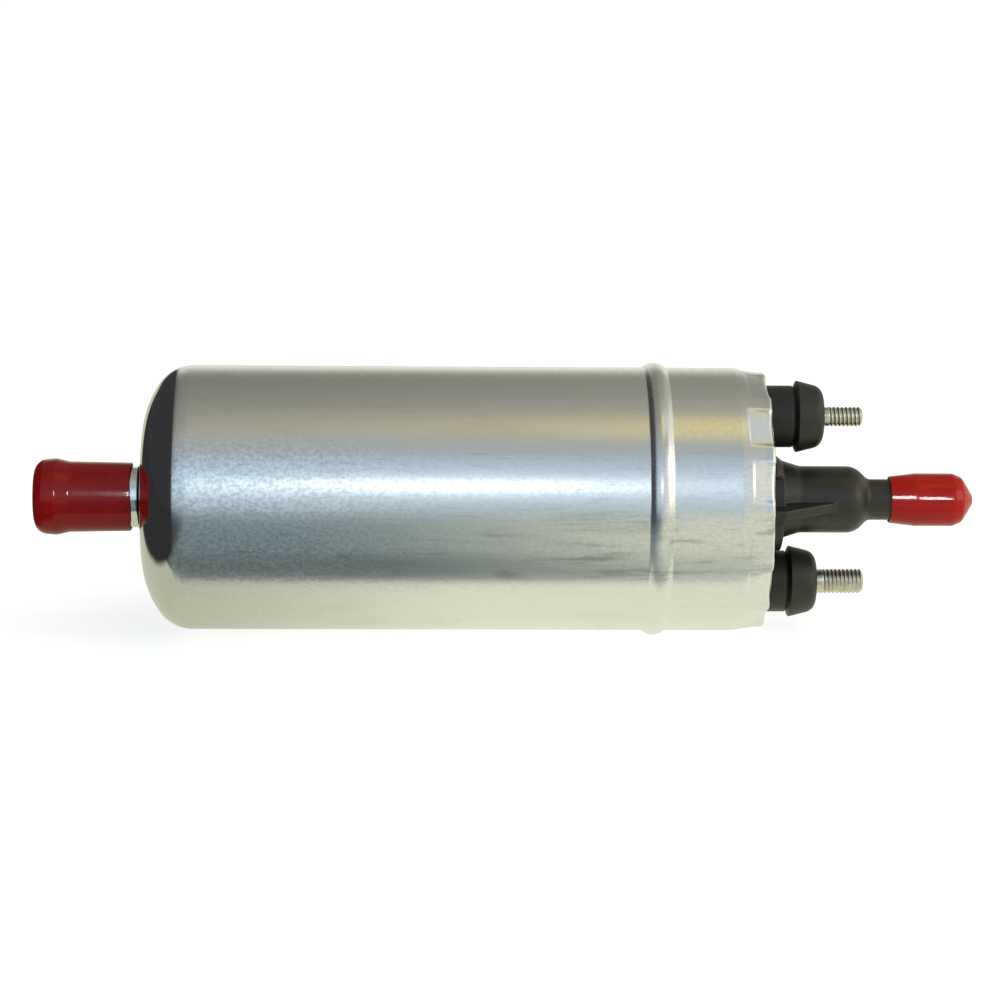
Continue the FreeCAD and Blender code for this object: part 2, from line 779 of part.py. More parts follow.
def build_discharge_plate():
    body = new_body("discharge_plate")
    revolve(body, outline(body, "section", "XY_Plane", [
        (0, s.shaft_radius + s.bearing_gap),
        (s.bearing_gap, s.shaft_radius + s.bearing_gap),
        (s.bearing_gap, s.bushing_radius + s.press_gap),
        (s.discharge_thickness, s.bushing_radius + s.press_gap),
        (s.discharge_thickness, s.section_radius),
        (0, s.section_radius),
    ]))
    section = outline(body, "pressure_port", "XZ_Plane", ring_section(
        -s.discharge_thickness, s.discharge_thickness * 2, -s.port_inner_radius,
        -s.port_outer_radius))
    groove(body, section, angle=s.port_angle, midplane=True)
    screw_holes(body, as_size(0), s.discharge_thickness)
    bore = circles(body, "relief_bore", "YZ_Plane", [
        (s.relief_circle, 0, s.relief_bore_radius)])
    pocket(body, bore, s.discharge_thickness - s.relief_seat_depth)
    seat = circles(body, "relief_seat", "YZ_Plane", [
        (s.relief_circle, 0, s.relief_seat_radius)])
    pocket(body, seat, s.discharge_thickness)
    put(body, s.discharge_station)


def build_section_screws():
    body = new_body("section_screws")
    length = s.intake_thickness + s.gear_width + s.discharge_thickness - s.screw_head_height
    shank = circles(body, "shank", "YZ_Plane", [(0, s.screw_circle, s.screw_radius)])
    head = circles(body, "head", "YZ_Plane", [(0, s.screw_circle, s.screw_head_radius)])
    shank_pad = pad(body, shank, length - s.seat_gap)
    head_pad = pad(body, head, s.screw_head_height, against=True)
    around(body, [shank_pad, head_pad], s.screw_count)
    put(body, s.section_station + s.screw_head_height + s.seat_gap)


def build_relief_valve():
    ball = document.addObject("Part::Sphere", "relief_ball")
    ball.Label = "relief_ball"
    ball.setExpression("Radius", s.relief_ball_radius.formula)
    pieces.append(ball)
    seat_edge = square_root(
        s.relief_ball_radius * s.relief_ball_radius - s.relief_seat_radius * s.relief_seat_radius)
    ball_station = s.section_end - s.relief_seat_depth - seat_edge - s.press_gap
    put(ball, ball_station, y=s.relief_circle)
    spring_start = s.gear_station
    touch = square_root(
        s.relief_ball_radius * s.relief_ball_radius - s.relief_spring_inner * s.relief_spring_inner)
    length = ball_station - touch - s.seat_gap - spring_start
    spring = ring("relief_spring", length, s.relief_spring_inner, s.relief_spring_outer)
    put(spring, spring_start, y=s.relief_circle)


def build_motor_frame():
    tube = ring("flux_tube", s.cover_station - s.section_end, s.motor_tube_inner, s.section_radius)
    put(tube, s.section_end)
    for name, turn in (("magnet_left", 0), ("magnet_right", 180)):
        magnet = new_body(name)
        section = outline(magnet, "section", "XY_Plane", ring_section(
            0, s.magnet_length, s.magnet_inner, s.magnet_outer))
        revolve(magnet, section, angle=s.magnet_angle, midplane=True)
        put(magnet, s.magnet_station, turn=turn)
    clips = new_body("magnet_clips")
    section = outline(clips, "section", "XZ_Plane", ring_section(
        0, s.magnet_length, s.magnet_outer - s.clip_thickness, s.magnet_outer))
    around(clips, [revolve(clips, section, angle=s.clip_angle, midplane=True)], 2)
    put(clips, s.magnet_station)


def build_shaft():
    body = new_body("armature_shaft")
    end = s.cover_floor + s.cover_recess_depth / 2
    length = end - s.shaft_station
    revolve(body, outline(body, "section", "XY_Plane", [
        (0, 0),
        (length, 0),
        (length, s.shaft_radius),
        (0, s.shaft_radius),
    ]))
    flat_length = s.discharge_station - s.shaft_station
    for name, side in (("upper_flat", 1), ("lower_flat", -1)):
        flats = outline(body, name, "YZ_Plane", [
            (-s.shaft_radius * 2, s.shaft_flat_half * side),
            (s.shaft_radius * 2, s.shaft_flat_half * side),
            (s.shaft_radius * 2, s.shaft_radius * 2 * side),
            (-s.shaft_radius * 2, s.shaft_radius * 2 * side),
        ])
        pocket(body, flats, flat_length)
    put(body, s.shaft_station)


def slot_corners(gap):
    """Winding slot between two armature teeth, drawn smaller by a gap on every side."""
    mouth = s.stack_radius - s.slot_lip
    return [
        (s.slot_floor_radius + gap, -s.slot_floor_half + gap),
        (s.slot_floor_radius + gap, s.slot_floor_half - gap),
        (mouth - gap * 2, s.slot_roof_half - gap * 2),
        (mouth - gap * 2, -s.slot_roof_half + gap * 2),
    ]


def slotted_disc(name, length):
    """Disc of the armature's outline with its slots and their mouths."""
    body = new_body(name)
    revolve(body, outline(body, "section", "XY_Plane", ring_section(
        0, length, s.shaft_radius + s.press_gap, s.stack_radius)))
    slot = outline(body, "slot", "YZ_Plane", slot_corners(as_size(0)))
    mouth = outline(body, "mouth", "YZ_Plane", [
        (s.stack_radius - s.slot_lip * 2, -s.slot_mouth_half),
        (s.stack_radius * 2, -s.slot_mouth_half),
        (s.stack_radius * 2, s.slot_mouth_half),
        (s.stack_radius - s.slot_lip * 2, s.slot_mouth_half),
    ])
    cuts = [pocket(body, slot, length), pocket(body, mouth, length)]
    around(body, cuts, s.slot_count)
    return body


def build_armature():
    put(slotted_disc("armature_laminations", s.stack_length), s.stack_station)
    front = slotted_disc("front_insulator", s.insulator_thickness)
    put(front, s.stack_station - s.insulator_thickness)
    rear = slotted_disc("rear_insulator", s.insulator_thickness)
    put(rear, s.stack_station + s.stack_length)

    body = new_body("armature_windings")
    turns = outline(body, "slot_turns", "YZ_Plane", slot_corners(s.winding_gap))
    length = s.stack_length + s.insulator_thickness * 2 + s.end_turn_length * 2
    around(body, [pad(body, turns, length)], s.slot_count)
    for name, start in (("front_end_turns", as_size(0)), ("rear_end_turns", length - s.end_turn_length)):
        revolve(body, outline(body, name, "XY_Plane", [
            (start, s.end_turn_inner),
            (start + s.end_turn_length, s.end_turn_inner),
            (start + s.end_turn_length, s.end_turn_outer),
            (start, s.end_turn_outer),
        ]))
    put(body, s.stack_station - s.insulator_thickness - s.end_turn_length)


def build_commutator():
    hub = new_body("commutator_hub")
    bars_start = (s.commutator_hub_length - s.commutator_length) / 2
    bars_end = bars_start + s.commutator_length
    floor = s.commutator_radius - s.commutator_bar_depth - s.press_gap
    revolve(hub, outline(hub, "section", "XY_Plane", [
        (0, s.shaft_radius + s.press_gap),
        (s.commutator_hub_length, s.shaft_radius + s.press_gap),
        (s.commutator_hub_length, floor + s.commutator_bar_depth / 2),
        (bars_end, floor + s.commutator_bar_depth / 2),
        (bars_end, floor),
        (bars_start, floor),
        (bars_start, floor + s.commutator_bar_depth / 2),
        (0, floor + s.commutator_bar_depth / 2),
    ]))
    put(hub, s.commutator_station - bars_start)
    bars = new_body("commutator_bars")
    section = outline(bars, "section", "XY_Plane", ring_section(
        s.press_gap, s.commutator_length - s.press_gap, s.commutator_radius - s.commutator_bar_depth,
        s.commutator_radius))
    bar = revolve(bars, section, angle=360 / s.commutator_bar_count - s.commutator_slot_angle,
                  midplane=True)
    around(bars, [bar], s.commutator_bar_count)
    put(bars, s.commutator_station)


def build_bearings():
    front_start = s.discharge_station + s.bearing_gap
    bore = s.shaft_radius + s.running_gap
    put(ring("front_bushing", s.front_bushing_length, bore, s.bushing_radius), front_start)
    front_end = front_start + s.front_bushing_length
    washer = ring("front_thrust_washer", s.washer_thickness, bore, s.washer_radius)
    put(washer, front_end + s.seat_gap)
    spacer_start = front_end + s.washer_thickness + s.seat_gap * 2
    spacer_end = s.stack_station - s.insulator_thickness - s.end_turn_length
    spacer = ring("shaft_spacer", spacer_end + s.end_turn_length - s.seat_gap - spacer_start,
                  s.shaft_radius + s.press_gap, s.spacer_radius)
    put(spacer, spacer_start)
    rear_end = s.cover_floor
    rear = ring("rear_bushing", s.rear_bushing_length, bore, s.bushing_radius)
    put(rear, rear_end - s.rear_bushing_length)
    hub_end = s.commutator_station + (s.commutator_length + s.commutator_hub_length) / 2
    washer = ring("rear_thrust_washer", rear_end - s.rear_bushing_length - hub_end - s.seat_gap * 2,
                  bore, s.washer_radius)
    put(washer, hub_end + s.seat_gap)


def build_brush_carrier():
    body = new_body("brush_carrier")
    disc = s.cover_floor - s.carrier_thickness
    arm = disc - s.carrier_arm_station
    radius = s.cover_cavity_radius - s.seat_gap
    revolve(body, outline(body, "disc", "XY_Plane", [
        (-s.carrier_boss_length, s.bushing_radius + s.press_gap),
        (s.carrier_thickness, s.bushing_radius + s.press_gap),
        (s.carrier_thickness, radius),
        (0, radius),
        (0, s.carrier_boss_radius),
        (-s.carrier_boss_length, s.carrier_boss_radius),
    ]))
    outer = s.strip_inner - s.seat_gap
    for name, side in (("upper_arm", 1), ("lower_arm", -1)):
        section = outline(body, name, "YZ_Plane", [
            (-s.carrier_arm_half, s.carrier_arm_inner * side),
            (s.carrier_arm_half, s.carrier_arm_inner * side),
            (s.carrier_arm_half, outer * side),
            (-s.carrier_arm_half, outer * side),
        ])
        pad(body, section, arm, against=True)
    brush_start = s.brush_station - disc
    half = s.brush_half_width + s.slide_gap
    for name, side in (("upper", 1), ("lower", -1)):
        strip_cut = outline(body, name + "_strip_notch", "YZ_Plane", [
            (-s.strip_half_width - s.strip_slot_gap, outer * side),
            (s.strip_half_width + s.strip_slot_gap, outer * side),
            (s.strip_half_width + s.strip_slot_gap, s.cover_cavity_radius * 2 * side),
            (-s.strip_half_width - s.strip_slot_gap, s.cover_cavity_radius * 2 * side),
        ])
        pocket(body, strip_cut, s.carrier_thickness)
        channel = outline(body, name + "_brush_channel", "YZ_Plane", [
            (-half, s.carrier_arm_inner / 2 * side),
            (half, s.carrier_arm_inner / 2 * side),
            (half, s.cover_cavity_radius * 2 * side),
            (-half, s.cover_cavity_radius * 2 * side),
        ], offset=brush_start - s.slide_gap)
        pocket(body, channel, s.brush_length + s.slide_gap * 2)
    flow = circles(body, "flow_holes", "YZ_Plane", [
        (s.carrier_flow_circle, 0, s.carrier_flow_radius)])
    around(body, [pocket(body, flow, s.carrier_thickness)], s.carrier_flow_count)
    put(body, disc)


def build_brushes():
    """Each brush rides on the commutator and is pushed inwards by its spring."""
    for pole, turn in (("minus", 0), ("plus", 180)):
        brush = new_body("brush_" + pole)
        block = outline(brush, "block", "YZ_Plane", [
            (-s.brush_half_width, s.commutator_radius - s.commutator_bar_depth),
            (s.brush_half_width, s.commutator_radius - s.commutator_bar_depth),
            (s.brush_half_width, s.brush_outer),
            (-s.brush_half_width, s.brush_outer),
        ])
        pad(brush, block, s.brush_length)
        face = circles(brush, "contact_face", "YZ_Plane", [
            (0, 0, s.commutator_radius + s.running_gap)])
        pocket(brush, face, s.brush_length)
        put(brush, s.brush_station, turn=turn)

        spring = new_body("brush_spring_" + pole)
        coil = circles(spring, "coil", "XY_Plane", [
            (0, 0, s.brush_spring_outer),
            (0, 0, s.brush_spring_inner),
        ], offset=s.brush_outer)
        pad(spring, coil, s.brush_spring_length)
        put(spring, s.brush_station + s.brush_length / 2, turn=turn)


def build_cover():
    body = new_body("connection_cover")
    crimp = s.can_length - s.crimp_length - s.cover_station
    neck = s.cover_neck_radius
    lip = s.can_length - s.crimp_lip_wall - s.cover_station
    hub = lip + s.cover_hub_height
    foot = hub + s.nozzle_foot_height
    flare = foot + s.nozzle_foot_slope
    tip = s.nozzle_station - s.cover_station
    shoulder = s.nozzle_shoulder_station - s.cover_station
    neck_corner = shoulder + s.nozzle_radius - s.nozzle_neck_radius
    barb = tip - s.nozzle_barb_length
    revolve(body, outline(body, "outside", "XY_Plane", [
        (0, 0),
        (0, s.section_radius),
        (crimp, s.section_radius),
        (crimp + s.crimp_taper, neck),
        (lip, neck),
        (lip, s.cover_hub_radius),
        (hub, s.cover_hub_radius),
        (hub, s.nozzle_foot_radius),
        (foot, s.nozzle_foot_radius),
        (flare, s.nozzle_foot_neck),
        (flare + s.nozzle_foot_flare, s.nozzle_radius),
        (shoulder, s.nozzle_radius, s.nozzle_shoulder_rounding),
        (neck_corner, s.nozzle_neck_radius, s.nozzle_neck_rounding),
        (barb, s.nozzle_neck_radius),
        (barb, s.nozzle_barb_radius),
        (tip, s.nozzle_neck_radius - s.nozzle_tip_inset),
        (tip, 0),
    ]))
    posts = circles(body, "posts", "YZ_Plane", [
        (0, s.terminal_offset, s.post_radius),
        (0, -s.terminal_offset, s.post_radius),
    ], offset=hub)
    pad(body, posts, s.post_station - s.cover_station - hub)
    half_chord = square_root(
        s.collar_radius * s.collar_radius - s.collar_flat * s.collar_flat)
    pad(body, collar_outline(body, hub, half_chord), s.collar_height)
    for name, side in (("front_gusset", -1), ("back_gusset", 1)):
        rib = outline(body, name, "XY_Plane", [
            (hub, s.nozzle_radius / 2 * side),
            (hub, s.gusset_foot * side),
            (hub + s.gusset_foot_height, s.gusset_foot * side),
            (s.gusset_station - s.cover_station, s.nozzle_radius * side),
            (s.gusset_station - s.cover_station, s.nozzle_radius / 2 * side),
        ])
        pad(body, rib, s.gusset_half * 2, midplane=True)
    recess = s.cover_cavity_depth + s.cover_recess_depth
    valve = s.valve_shoulder_station - s.cover_station
    groove(body, outline(body, "inside", "XY_Plane", [
        (0, 0),
        (0, s.cover_cavity_radius),
        (s.cover_cavity_depth, s.cover_cavity_radius),
        (s.cover_cavity_depth, s.cover_recess_radius),
        (recess, s.cover_recess_radius),
        (recess, s.valve_bore),
        (valve, s.valve_bore),
        (valve, s.nozzle_bore),
        (tip, s.nozzle_bore),
        (tip, 0),
    ]))
    seal = s.seal_station - s.cover_station
    groove(body, outline(body, "seal_groove", "XY_Plane", ring_section(
        seal, seal + s.seal_width, s.section_radius - s.seal_depth, s.can_radius)))
    cut_terminal_holes(body)
    put(body, s.cover_station)


def collar_outline(body, offset, half_chord):
    """Round collar with a flat on its upper side."""
    sketch = new_sketch(body, "collar", "YZ_Plane", offset)
    radius = s.collar_radius.value
    start = math.atan2(s.collar_flat.value, half_chord.value)
    circle = Part.Circle(Vector(), Vector(0, 0, 1), radius)
    arc = Part.ArcOfCircle(circle, math.pi - start, 2 * math.pi + start)
    left = Vector(-half_chord.value, s.collar_flat.value, 0)
    right = Vector(half_chord.value, s.collar_flat.value, 0)
    sketch.addGeometry([arc, Part.LineSegment(right, left)], False)
    sketch.addConstraint([
        Sketcher.Constraint("Coincident", 0, 3, -1, 1),
        Sketcher.Constraint("Coincident", 0, 2, 1, 1),
        Sketcher.Constraint("Coincident", 1, 2, 0, 1),
        Sketcher.Constraint("Horizontal", 1),
    ])
    index = sketch.addConstraint(Sketcher.Constraint("Radius", 0, radius))
    sketch.setExpression(f"Constraints[{index}]", s.collar_radius.formula)
    index = sketch.addConstraint(Sketcher.Constraint("DistanceY", -1, 1, 1, 1, s.collar_flat.value))
    sketch.setExpression(f"Constraints[{index}]", s.collar_flat.formula)
    return sketch


def cut_terminal_holes(body):
    """Stud hole, head pocket, seal recess and strip slot of both terminals."""
    floor = s.cover_cavity_depth
    pocket_end = floor + s.stud_pocket_depth
    slot_half = s.carrier_arm_half + s.strip_slot_gap
    slot_top = s.strip_inner + s.strip_thickness + s.strip_slot_gap
    for pole, side, radius in (("minus", 1, s.stud_minus_radius), ("plus", -1, s.stud_plus_radius)):
        centre = s.terminal_offset * side
        heads = circles(body, pole + "_head", "YZ_Plane", [(0, centre, s.stud_pocket_radius)],
                        offset=floor)
        pocket(body, heads, s.stud_pocket_depth)
        seals = circles(body, pole + "_seal", "YZ_Plane", [
            (0, centre, s.stud_seal_radius + s.press_gap)], offset=pocket_end)
        pocket(body, seals, s.stud_seal_width)
        hole = circles(body, pole + "_hole", "YZ_Plane", [
            (0, centre, radius + s.stud_hole_gap)], offset=pocket_end)
        pocket(body, hole, s.post_station - s.cover_station - pocket_end)
        slot = outline(body, pole + "_strip_slot", "YZ_Plane", [
            (-slot_half, centre),
            (slot_half, centre),
            (slot_half, slot_top * side),
            (-slot_half, slot_top * side),
        ])
        pocket(body, slot, pocket_end)


def build_cover_seal():
    body = new_body("cover_seal")
    inner = s.section_radius - s.seal_depth + s.press_gap
    outer = s.can_radius - s.can_wall - s.press_gap
    width = s.seal_width - s.seat_gap * 2
    revolve(body, outline(body, "section", "XY_Plane", [
        (0, inner + s.seal_chamfer),
        (s.seal_chamfer, inner),
        (width - s.seal_chamfer, inner),
        (width, inner + s.seal_chamfer),
        (width, outer - s.seal_chamfer),
        (width - s.seal_chamfer, outer),
        (s.seal_chamfer, outer),
        (0, outer - s.seal_chamfer),
    ]))
    put(body, s.seal_station + s.seat_gap)


def build_check_valve():
    seat = ring("check_valve_seat", s.valve_seat_length, s.valve_seat_bore,
                s.valve_bore - s.press_gap)
    put(seat, s.valve_seat_station)
    poppet = new_body("check_valve_poppet")
    head = s.poppet_head
    revolve(poppet, outline(poppet, "section", "XY_Plane", [
        (-s.poppet_nose, 0),
        (-s.poppet_nose, s.poppet_nose_radius),
        (0, s.poppet_nose_radius),
        (0, s.poppet_radius),
        (head, s.poppet_radius),
        (head, s.poppet_stem_radius),
        (head + s.poppet_stem_length, s.poppet_stem_radius),
        (head + s.poppet_stem_length, 0),
    ]))
    face = s.valve_seat_station + s.valve_seat_length + s.press_gap
    put(poppet, face)
    spring_start = face + s.poppet_head + s.press_gap
    spring = ring("check_valve_spring", s.valve_shoulder_station - spring_start,
                  s.valve_spring_inner, s.valve_spring_outer)
    put(spring, spring_start)


def build_terminals():
    floor = s.cover_floor + s.stud_pocket_depth
    for pole, side, radius, end in (
            ("minus", 1, s.stud_minus_radius, s.stud_minus_station),
            ("plus", -1, s.stud_plus_radius, s.stud_plus_station)):
        stud = new_body("stud_" + pole)
        length = end - floor + s.strip_thickness
        relief = s.boot_end - floor + s.strip_thickness
        revolve(stud, outline(stud, "section", "XY_Plane", [
            (-s.stud_head_height, 0),
            (-s.stud_head_height, s.stud_head_radius),
            (0, s.stud_head_radius),
            (0, radius),
            (relief, radius),
            (relief, radius - s.stud_relief_depth),
            (relief + s.stud_relief_length, radius - s.stud_relief_depth),
            (relief + s.stud_relief_length, radius),
            (length - s.stud_tip_chamfer, radius),
            (length, radius - s.stud_tip_chamfer),
            (length, 0),
        ]))
        put(stud, floor - s.strip_thickness, z=s.terminal_offset * side)
        seal = ring("stud_seal_" + pole, s.stud_seal_width - s.press_gap, radius + s.press_gap,
                    s.stud_seal_radius)
        put(seal, floor, z=s.terminal_offset * side)
        build_strip(pole, floor, radius, 0 if side > 0 else 180)


def build_strip(pole, floor, radius, turn):
    """Strip from the stud, out through the cover's slot and back along the brush box."""
    strip = new_body("terminal_strip_" + pole)
    inner_end = floor - s.carrier_arm_station
    top = s.strip_inner + s.strip_thickness
    section = outline(strip, "section", "XZ_Plane", [
        (0, s.terminal_offset - s.strip_eye_reach),
        (0, top),
        (-inner_end, top),
        (-inner_end, s.strip_inner),
        (-s.strip_thickness, s.strip_inner),
        (-s.strip_thickness, s.terminal_offset - s.strip_eye_reach),
    ])
    pad(strip, section, s.strip_half_width * 2, midplane=True)
    eye = circles(strip, "eye", "YZ_Plane", [(0, s.terminal_offset, radius + s.press_gap)],
                  offset=-s.strip_thickness * 2)
    pocket(strip, eye, s.strip_thickness * 2)
    put(strip, floor, turn=turn)


def build_boots():
    for pole, side, radius in (("minus", 1, s.stud_minus_radius), ("plus", -1, s.stud_plus_radius)):
        boot = new_body("boot_" + pole)
        roof = s.boot_length - s.boot_roof
        revolve(boot, outline(boot, "section", "XY_Plane", [
            (0, s.boot_bore),
            (roof, s.boot_bore),
            (roof, radius + s.cap_gap),
            (s.boot_length, radius + s.cap_gap),
            (s.boot_length, s.boot_end_radius, s.boot_end_rounding),
            (s.boot_taper_end, s.boot_end_radius),
            (s.boot_flange_crest, s.boot_flange_radius),
            (s.boot_flange_start, s.boot_radius),
            (0, s.boot_radius),
        ]))
        put(boot, s.boot_station, z=s.terminal_offset * side)


def build_caps():
    cap = new_body("inlet_cap")
    revolve(cap, outline(cap, "section", "XY_Plane", [
        (-s.inlet_cap_rim, s.inlet_cap_bore),
        (-s.inlet_cap_rim, s.inlet_cap_radius),
        (-s.inlet_cap_sleeve_end, s.inlet_cap_radius),
        (-s.inlet_cap_bulge_station, s.inlet_cap_bulge),
        (-s.inlet_cap_end, s.inlet_cap_radius, s.inlet_cap_end_rounding),
        (-s.inlet_cap_end, 0),
        (-s.inlet_cap_end + s.inlet_cap_roof, 0),
        (-s.inlet_cap_end + s.inlet_cap_roof, s.inlet_cap_bore),
    ]))
    put(cap, as_size(0))
    cap = new_body("outlet_cap")
    roof = s.outlet_cap_grip + s.outlet_cap_roof
    shoulder = s.outlet_cap_grip + s.outlet_cap_shoulder_reach
    tip = s.outlet_cap_grip + s.outlet_cap_tip_reach
    revolve(cap, outline(cap, "section", "XY_Plane", [
        (0, s.outlet_cap_bore),
        (roof, s.outlet_cap_bore),
        (roof, 0),
        (tip, 0),
        (tip, s.outlet_cap_tip_radius),
        (shoulder, s.outlet_cap_cone_radius, s.outlet_cap_shoulder_rounding),
        (shoulder - s.outlet_cap_shoulder_rounding, s.outlet_cap_radius),
        (s.outlet_cap_taper_length, s.outlet_cap_radius),
        (0, s.outlet_cap_rim_radius),
    ]))
    put(cap, s.outlet_cap_rim)


def check_document():
    """Stop if any object failed or any piece has no sound shape."""
    faults = []
    for item in document.Objects:
        if {"Invalid", "Error"} & set(item.State):
            faults.append(f"{item.Label} {item.State}")
    for piece in pieces:
        if piece.Shape.isNull() or not piece.Shape.isValid():
            faults.append(f"{piece.Label} has no valid shape")
    if faults:
        raise RuntimeError("; ".join(faults))


def write_pieces():
    os.makedirs("parts", exist_ok=True)
    for piece in pieces:
        piece.Shape.exportStep(f"parts/{piece.Label}.step")


build_can()
build_spigot()
build_strainer()
build_intake_cover()
build_gear_ring()
build_outer_rotor()
build_inner_rotor()
build_discharge_plate()
build_section_screws()
build_relief_valve()
build_motor_frame()
build_shaft()
build_armature()
build_commutator()
build_bearings()
build_brush_carrier()
build_brushes()
build_cover()
build_cover_seal()
build_check_valve()
build_terminals()
build_boots()
build_caps()
document.recompute()
check_document()
write_pieces()
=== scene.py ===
import json
import math
import random

import bmesh
import bpy
from mathutils import Matrix, Vector


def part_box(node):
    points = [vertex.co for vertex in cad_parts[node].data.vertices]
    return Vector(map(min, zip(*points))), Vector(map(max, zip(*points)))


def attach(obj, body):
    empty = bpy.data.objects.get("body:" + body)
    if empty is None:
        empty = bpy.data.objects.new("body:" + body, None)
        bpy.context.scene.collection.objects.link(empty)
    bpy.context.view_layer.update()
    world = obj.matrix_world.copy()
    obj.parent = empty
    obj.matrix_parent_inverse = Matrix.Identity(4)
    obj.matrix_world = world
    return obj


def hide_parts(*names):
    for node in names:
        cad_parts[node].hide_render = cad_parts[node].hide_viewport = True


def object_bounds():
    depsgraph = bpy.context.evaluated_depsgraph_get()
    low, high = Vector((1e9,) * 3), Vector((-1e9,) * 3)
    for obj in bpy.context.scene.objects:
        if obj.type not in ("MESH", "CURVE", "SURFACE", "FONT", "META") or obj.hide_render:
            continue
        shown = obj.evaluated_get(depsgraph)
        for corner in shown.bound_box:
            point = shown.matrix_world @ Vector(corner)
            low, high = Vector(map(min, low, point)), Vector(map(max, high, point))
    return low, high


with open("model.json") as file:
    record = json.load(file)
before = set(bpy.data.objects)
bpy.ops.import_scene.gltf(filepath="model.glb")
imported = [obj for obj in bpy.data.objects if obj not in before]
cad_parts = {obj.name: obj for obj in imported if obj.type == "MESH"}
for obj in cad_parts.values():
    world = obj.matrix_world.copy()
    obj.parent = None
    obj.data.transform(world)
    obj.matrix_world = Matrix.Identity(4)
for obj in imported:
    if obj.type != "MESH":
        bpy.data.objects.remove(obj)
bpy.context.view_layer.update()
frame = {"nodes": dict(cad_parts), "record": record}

# The pieces' lengths are millimetres; materials, the stage and the camera have metres. A
# station is a distance along the pump's axis from the flat face of the can's dome.
MM = 0.001
DOME_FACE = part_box("pump_can")[0].x

CAN_RADIUS = 26.0
CAN_WALL = 1.5
CAN_END = 122.4
DOME_DEPTH = 5.75
DOME_SLOPE = math.radians(55)
DOME_EDGE_ROUNDING = 8.0
POLISH_END = 6.95
BEAD_STATION = 100.5
BEAD_HALF = 2.3
BEAD_CORNER_HEIGHT = 1.56
CRIMP_START = 116.0
CRIMP_TAPER = 4.4
CRIMP_RADIUS = 25.45
LIP_RADIUS = 22.6
LIP_WALL = 1.4
LIP_START = CAN_END - LIP_WALL

TUBE_RADIUS = 6.0
NOZZLE_RADIUS = 6.6
NOZZLE_BORE = 2.6
NECK_RADIUS = 4.05
NOZZLE_END = 160.5
HUB_STATION = 121.9
HUB_RADIUS = 22.4
NOZZLE_FOOT = HUB_STATION - 0.6
STUD_HEAD_RADIUS = 3.7
TERMINAL_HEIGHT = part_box("stud_minus")[1].z / MM - STUD_HEAD_RADIUS

random.seed(7)


def fillet(corners, steps=10):
    """Points of an outline whose corners (station, radius, rounding) are rounded by arcs."""
    points = []
    for index, corner in enumerate(corners):
        here = Vector(corner[:2])
        if len(corner) == 2:
            points.append(here)
            continue
        before = (Vector(corners[index - 1][:2]) - here).normalized()
        after = (Vector(corners[(index + 1) % len(corners)][:2]) - here).normalized()
        half = before.angle(after) / 2
        reach = corner[2] / math.tan(half)
        centre = here + (before + after).normalized() * (corner[2] / math.sin(half))
        start = here + before * reach - centre
        sweep = start.angle_signed(here + after * reach - centre)
        for step in range(steps + 1):
            turn = Matrix.Rotation(-sweep * step / steps, 2)
            points.append(centre + turn @ start)
    return points


def divide(points, longest):
    """The same closed outline with no step longer than a limit."""
    result = []
    for index, point in enumerate(points):
        after = points[(index + 1) % len(points)]
        count = max(1, math.ceil((after - point).length / longest))
        result += [point.lerp(after, step / count) for step in range(count)]
    return result


def smoothstep(low, high, value):
    share = min(1.0, max(0.0, (value - low) / (high - low)))
    return share * share * (3 - 2 * share)


def new_object(name, data):
    made = bpy.data.objects.new(name, data)
    bpy.context.scene.collection.objects.link(made)
    return made


def mesh_object(name, vertices, faces):
    mesh = bpy.data.meshes.new(name)
    mesh.from_pydata(vertices, [], faces)
    mesh.validate()
    mesh.update()
    return new_object(name, mesh)


def weld(piece):
    """Join the points of a pole and make every face look outwards."""
    distance = 0.002 * MM
    work = bmesh.new()
    work.from_mesh(piece.data)
    bmesh.ops.remove_doubles(work, verts=work.verts, dist=distance)
    bmesh.ops.dissolve_degenerate(work, edges=work.edges, dist=distance / 2)
    bmesh.ops.recalc_face_normals(work, faces=work.faces)
    work.to_mesh(piece.data)
    work.free()


def lathe(name, points, segments, height=0.0, shape=None):
    """Turn a closed outline about an axis along X that lies at a height.

    A shape may move each point of it, given as (station, radius, turn).
    """
    vertices = []
    for station, radius in points:
        for step in range(segments):
            turn = 2 * math.pi * step / segments
            along, reach = shape(station, radius, turn) if shape else (station, radius)
            vertices.append((
                DOME_FACE + along * MM,
                reach * math.cos(turn) * MM,
                (height + reach * math.sin(turn)) * MM))
    faces = []
    on_axis = 1e-6
    count = len(points)
    for row in range(count):
        after = (row + 1) % count
        if points[row][1] < on_axis and points[after][1] < on_axis:
            continue
        for step in range(segments):
            side = (step + 1) % segments
            faces.append((row * segments + step, after * segments + step,
                          after * segments + side, row * segments + side))
    made = mesh_object(name, vertices, faces)
    weld(made)
    return made


def plate(name, corners, half):
    """Flat plate through corners (station, side), with a half thickness in height."""
    vertices = [(DOME_FACE + station * MM, side * MM, height * MM)
                for height in (-half, half) for station, side in corners]
    count = len(corners)
    faces = [tuple(range(count)), tuple(range(2 * count - 1, count - 1, -1))]
    faces += [(i, (i + 1) % count, count + (i + 1) % count, count + i) for i in range(count)]
    made = mesh_object(name, vertices, faces)
    weld(made)
    return made


def collar(name, start, end, bore, radius, flat):
    """Round collar with a flat on its upper side."""
    def flatten(station, reach, turn):
        if reach > bore and math.sin(turn) > 0:
            reach = min(reach, flat / math.sin(turn))
        return station, reach

    outline = [(start, bore), (start, radius), (end, radius), (end, bore)]
    return lathe(name, outline, 160, shape=flatten)


